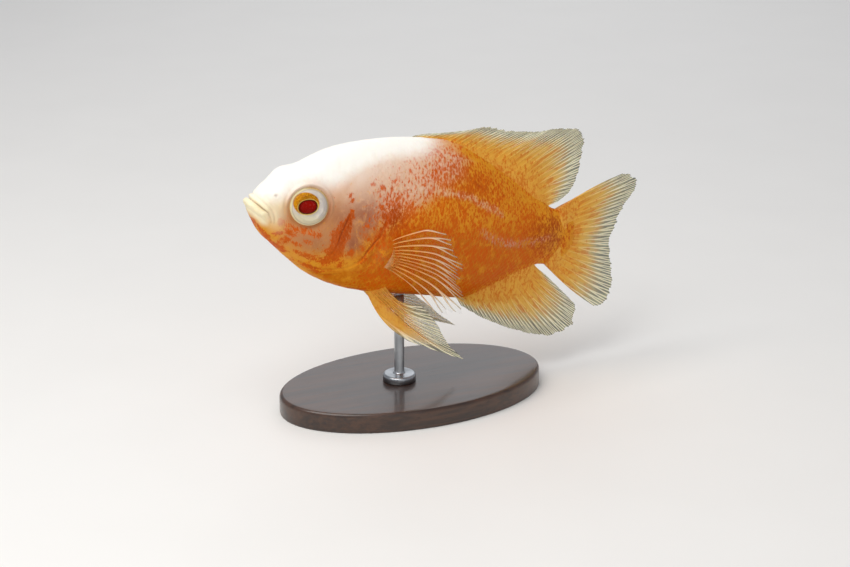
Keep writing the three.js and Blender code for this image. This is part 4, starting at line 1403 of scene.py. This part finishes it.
def add_stand(look):
    """An oval wooden base with a rounded rim and a steel rod with a flat foot."""
    half, high = look.base_length / MM / 2, look.base_height / MM
    low = [[0, 0], [half - 0.5, 0], [half - 0.12, 0.12], [half, 0.5]]
    flat = [[half - RIM_ROUND - inwards, high] for inwards in (1.5, 12, 30)]
    base = low + rounded(half, high, RIM_ROUND, 9) + flat + [[0, high]]
    ratio = look.base_width / look.base_length
    wood, steel = wood_finish(look), steel_finish(look)
    turned("stand_base", "stand_base_wood", base, ratio, BASE_X, wood, 256)
    r, start = look.rod_radius / MM, high + 0.02
    foot = [[0, start], [4.8, start], [FOOT_RADIUS, start + 0.2], [FOOT_RADIUS, start + 1.2]]
    foot += rounded(FOOT_RADIUS, start + 2.3, FOOT_ROUND, 6)
    neck = [[r + 0.6, start + 2.3], [r + 0.15, start + 2.5], [r, start + 3]]
    stem = [[r, 20], [r, ROD_TOP], [0, ROD_TOP]]
    turned("stand_rod", "stand_rod_steel", foot + neck + stem, 1, ROD_X, steel, 64)


# Stage


def aim_at(thing, place, target):
    """Puts a thing in the scene at a place, with its -Z axis towards the target."""
    thing.location = Vector(place)
    thing.rotation_euler = (Vector(target) - Vector(place)).to_track_quat("-Z", "Y").to_euler()
    bpy.context.scene.collection.objects.link(thing)


def add_floor(look):
    """A square floor under the stand."""
    s = FLOOR_HALF
    mesh = bpy.data.meshes.new("floor")
    mesh.from_pydata([(-s, -s, 0), (s, -s, 0), (s, s, 0), (-s, s, 0)], [], [(0, 1, 2, 3)])
    mesh.materials.append(floor_finish(look))
    floor = bpy.data.objects.new("floor", mesh)
    bpy.context.scene.collection.objects.link(floor)


def add_stage(look):
    """Plain pale floor, soft lights and the camera at the photograph's angle."""
    scene = bpy.context.scene
    add_floor(look)
    for name, group, share, width, place, colour in LAMPS:
        lamp = bpy.data.lights.new(name, "AREA")
        lamp.energy, lamp.size, lamp.color = getattr(look, group) * share, width, colour
        aim_at(bpy.data.objects.new(name, lamp), place, LAMP_AIM)
    scene.world = bpy.data.worlds.new("pale_room")
    scene.world.use_nodes = True
    sky = scene.world.node_tree.nodes["Background"]
    sky.inputs["Color"].default_value = SKY_COLOUR
    sky.inputs["Strength"].default_value = look.sky
    scene.view_settings.view_transform = "Standard"
    camera = bpy.data.objects.new("camera", bpy.data.cameras.new("camera"))
    camera.data.lens, camera.data.sensor_width = look.lens, SENSOR
    a, e = look.azimuth, look.elevation
    away = np.array([math.sin(a) * math.cos(e), -math.cos(a) * math.cos(e), math.sin(e)])
    aim_at(camera, np.array(look.aim) + away * look.distance, look.aim)
    scene.camera = camera


class OSCAR_OT_skin(bpy.types.Operator):
    """Make the skin of the whole body"""

    bl_idname = "oscar.skin"
    bl_label = "Make skin"

    def execute(self, context):
        add_skin(context.scene.oscar_skin)
        return {"FINISHED"}


class OSCAR_OT_eyes(bpy.types.Operator):
    """Make both eyes and their corneas"""

    bl_idname = "oscar.eyes"
    bl_label = "Make eyes"

    def execute(self, context):
        add_eyes(context.scene.oscar_eye)
        return {"FINISHED"}


class OSCAR_OT_median_fins(bpy.types.Operator):
    """Make the dorsal, anal and tail fins"""

    bl_idname = "oscar.median_fins"
    bl_label = "Make middle fins"

    def execute(self, context):
        look = context.scene.oscar_fin
        finish = fin_finish("golden_fin", look, 0, GOLDEN_FORKS)
        add_median_fin("dorsal_fin", DORSAL, back_at, look, finish)
        add_median_fin("anal_fin", ANAL, belly_at, look, finish)
        add_tail_fin(look, finish)
        return {"FINISHED"}


class OSCAR_OT_paired_fins(bpy.types.Operator):
    """Make the pectoral and pelvic fins"""

    bl_idname = "oscar.paired_fins"
    bl_label = "Make paired fins"

    def execute(self, context):
        look = context.scene.oscar_fin
        film = fin_finish("clear_fin", look, 1, PECTORAL_FORKS)
        flesh = fin_finish("pelvic_fin", look, 0.45, PELVIC_FORKS)
        add_paired_fin("pectoral_fin_left", PECTORAL, -1, film)
        add_paired_fin("pectoral_fin_right", PECTORAL, 1, film)
        add_paired_fin("pelvic_fin_left", PELVIC_LEFT, -1, flesh)
        add_paired_fin("pelvic_fin_right", PELVIC_RIGHT, 1, flesh)
        return {"FINISHED"}


class OSCAR_OT_stand(bpy.types.Operator):
    """Make the wooden base and the steel rod"""

    bl_idname = "oscar.stand"
    bl_label = "Make stand"

    def execute(self, context):
        add_stand(context.scene.oscar_stand)
        return {"FINISHED"}


class OSCAR_OT_stage(bpy.types.Operator):
    """Make the floor, lights and camera"""

    bl_idname = "oscar.stage"
    bl_label = "Make stage"

    def execute(self, context):
        add_stage(context.scene.oscar_stage)
        return {"FINISHED"}


class OSCAR_PT_panel(bpy.types.Panel):
    """Settings and pieces of the oscar"""

    bl_label = "Oscar display model"
    bl_idname = "OSCAR_PT_panel"
    bl_space_type = "VIEW_3D"
    bl_region_type = "UI"
    bl_category = "Oscar"

    def draw(self, context):
        for key, group, operators in PARTS:
            box = self.layout.box()
            settings = getattr(context.scene, key)
            for name in group.__annotations__:
                box.prop(settings, name)
            for operator in operators:
                box.operator(operator.bl_idname)


PARTS = (
    ("oscar_skin", OscarSkin, (OSCAR_OT_skin,)),
    ("oscar_eye", OscarEye, (OSCAR_OT_eyes,)),
    ("oscar_fin", OscarFin, (OSCAR_OT_median_fins, OSCAR_OT_paired_fins)),
    ("oscar_stand", OscarStand, (OSCAR_OT_stand,)),
    ("oscar_stage", OscarStage, (OSCAR_OT_stage,)),
)


def register():
    for key, group, operators in PARTS:
        bpy.utils.register_class(group)
        setattr(bpy.types.Scene, key, PointerProperty(type=group))
        for operator in operators:
            bpy.utils.register_class(operator)
    bpy.utils.register_class(OSCAR_PT_panel)


def unregister():
    bpy.utils.unregister_class(OSCAR_PT_panel)
    for key, group, operators in reversed(PARTS):
        for operator in operators:
            bpy.utils.unregister_class(operator)
        delattr(bpy.types.Scene, key)
        bpy.utils.unregister_class(group)


def main():
    """Makes every piece and the stage."""
    register()
    bpy.ops.oscar.skin()
    bpy.ops.oscar.eyes()
    bpy.ops.oscar.median_fins()
    bpy.ops.oscar.paired_fins()
    bpy.ops.oscar.stand()
    bpy.ops.oscar.stage()


if __name__ == "__main__":
    main()
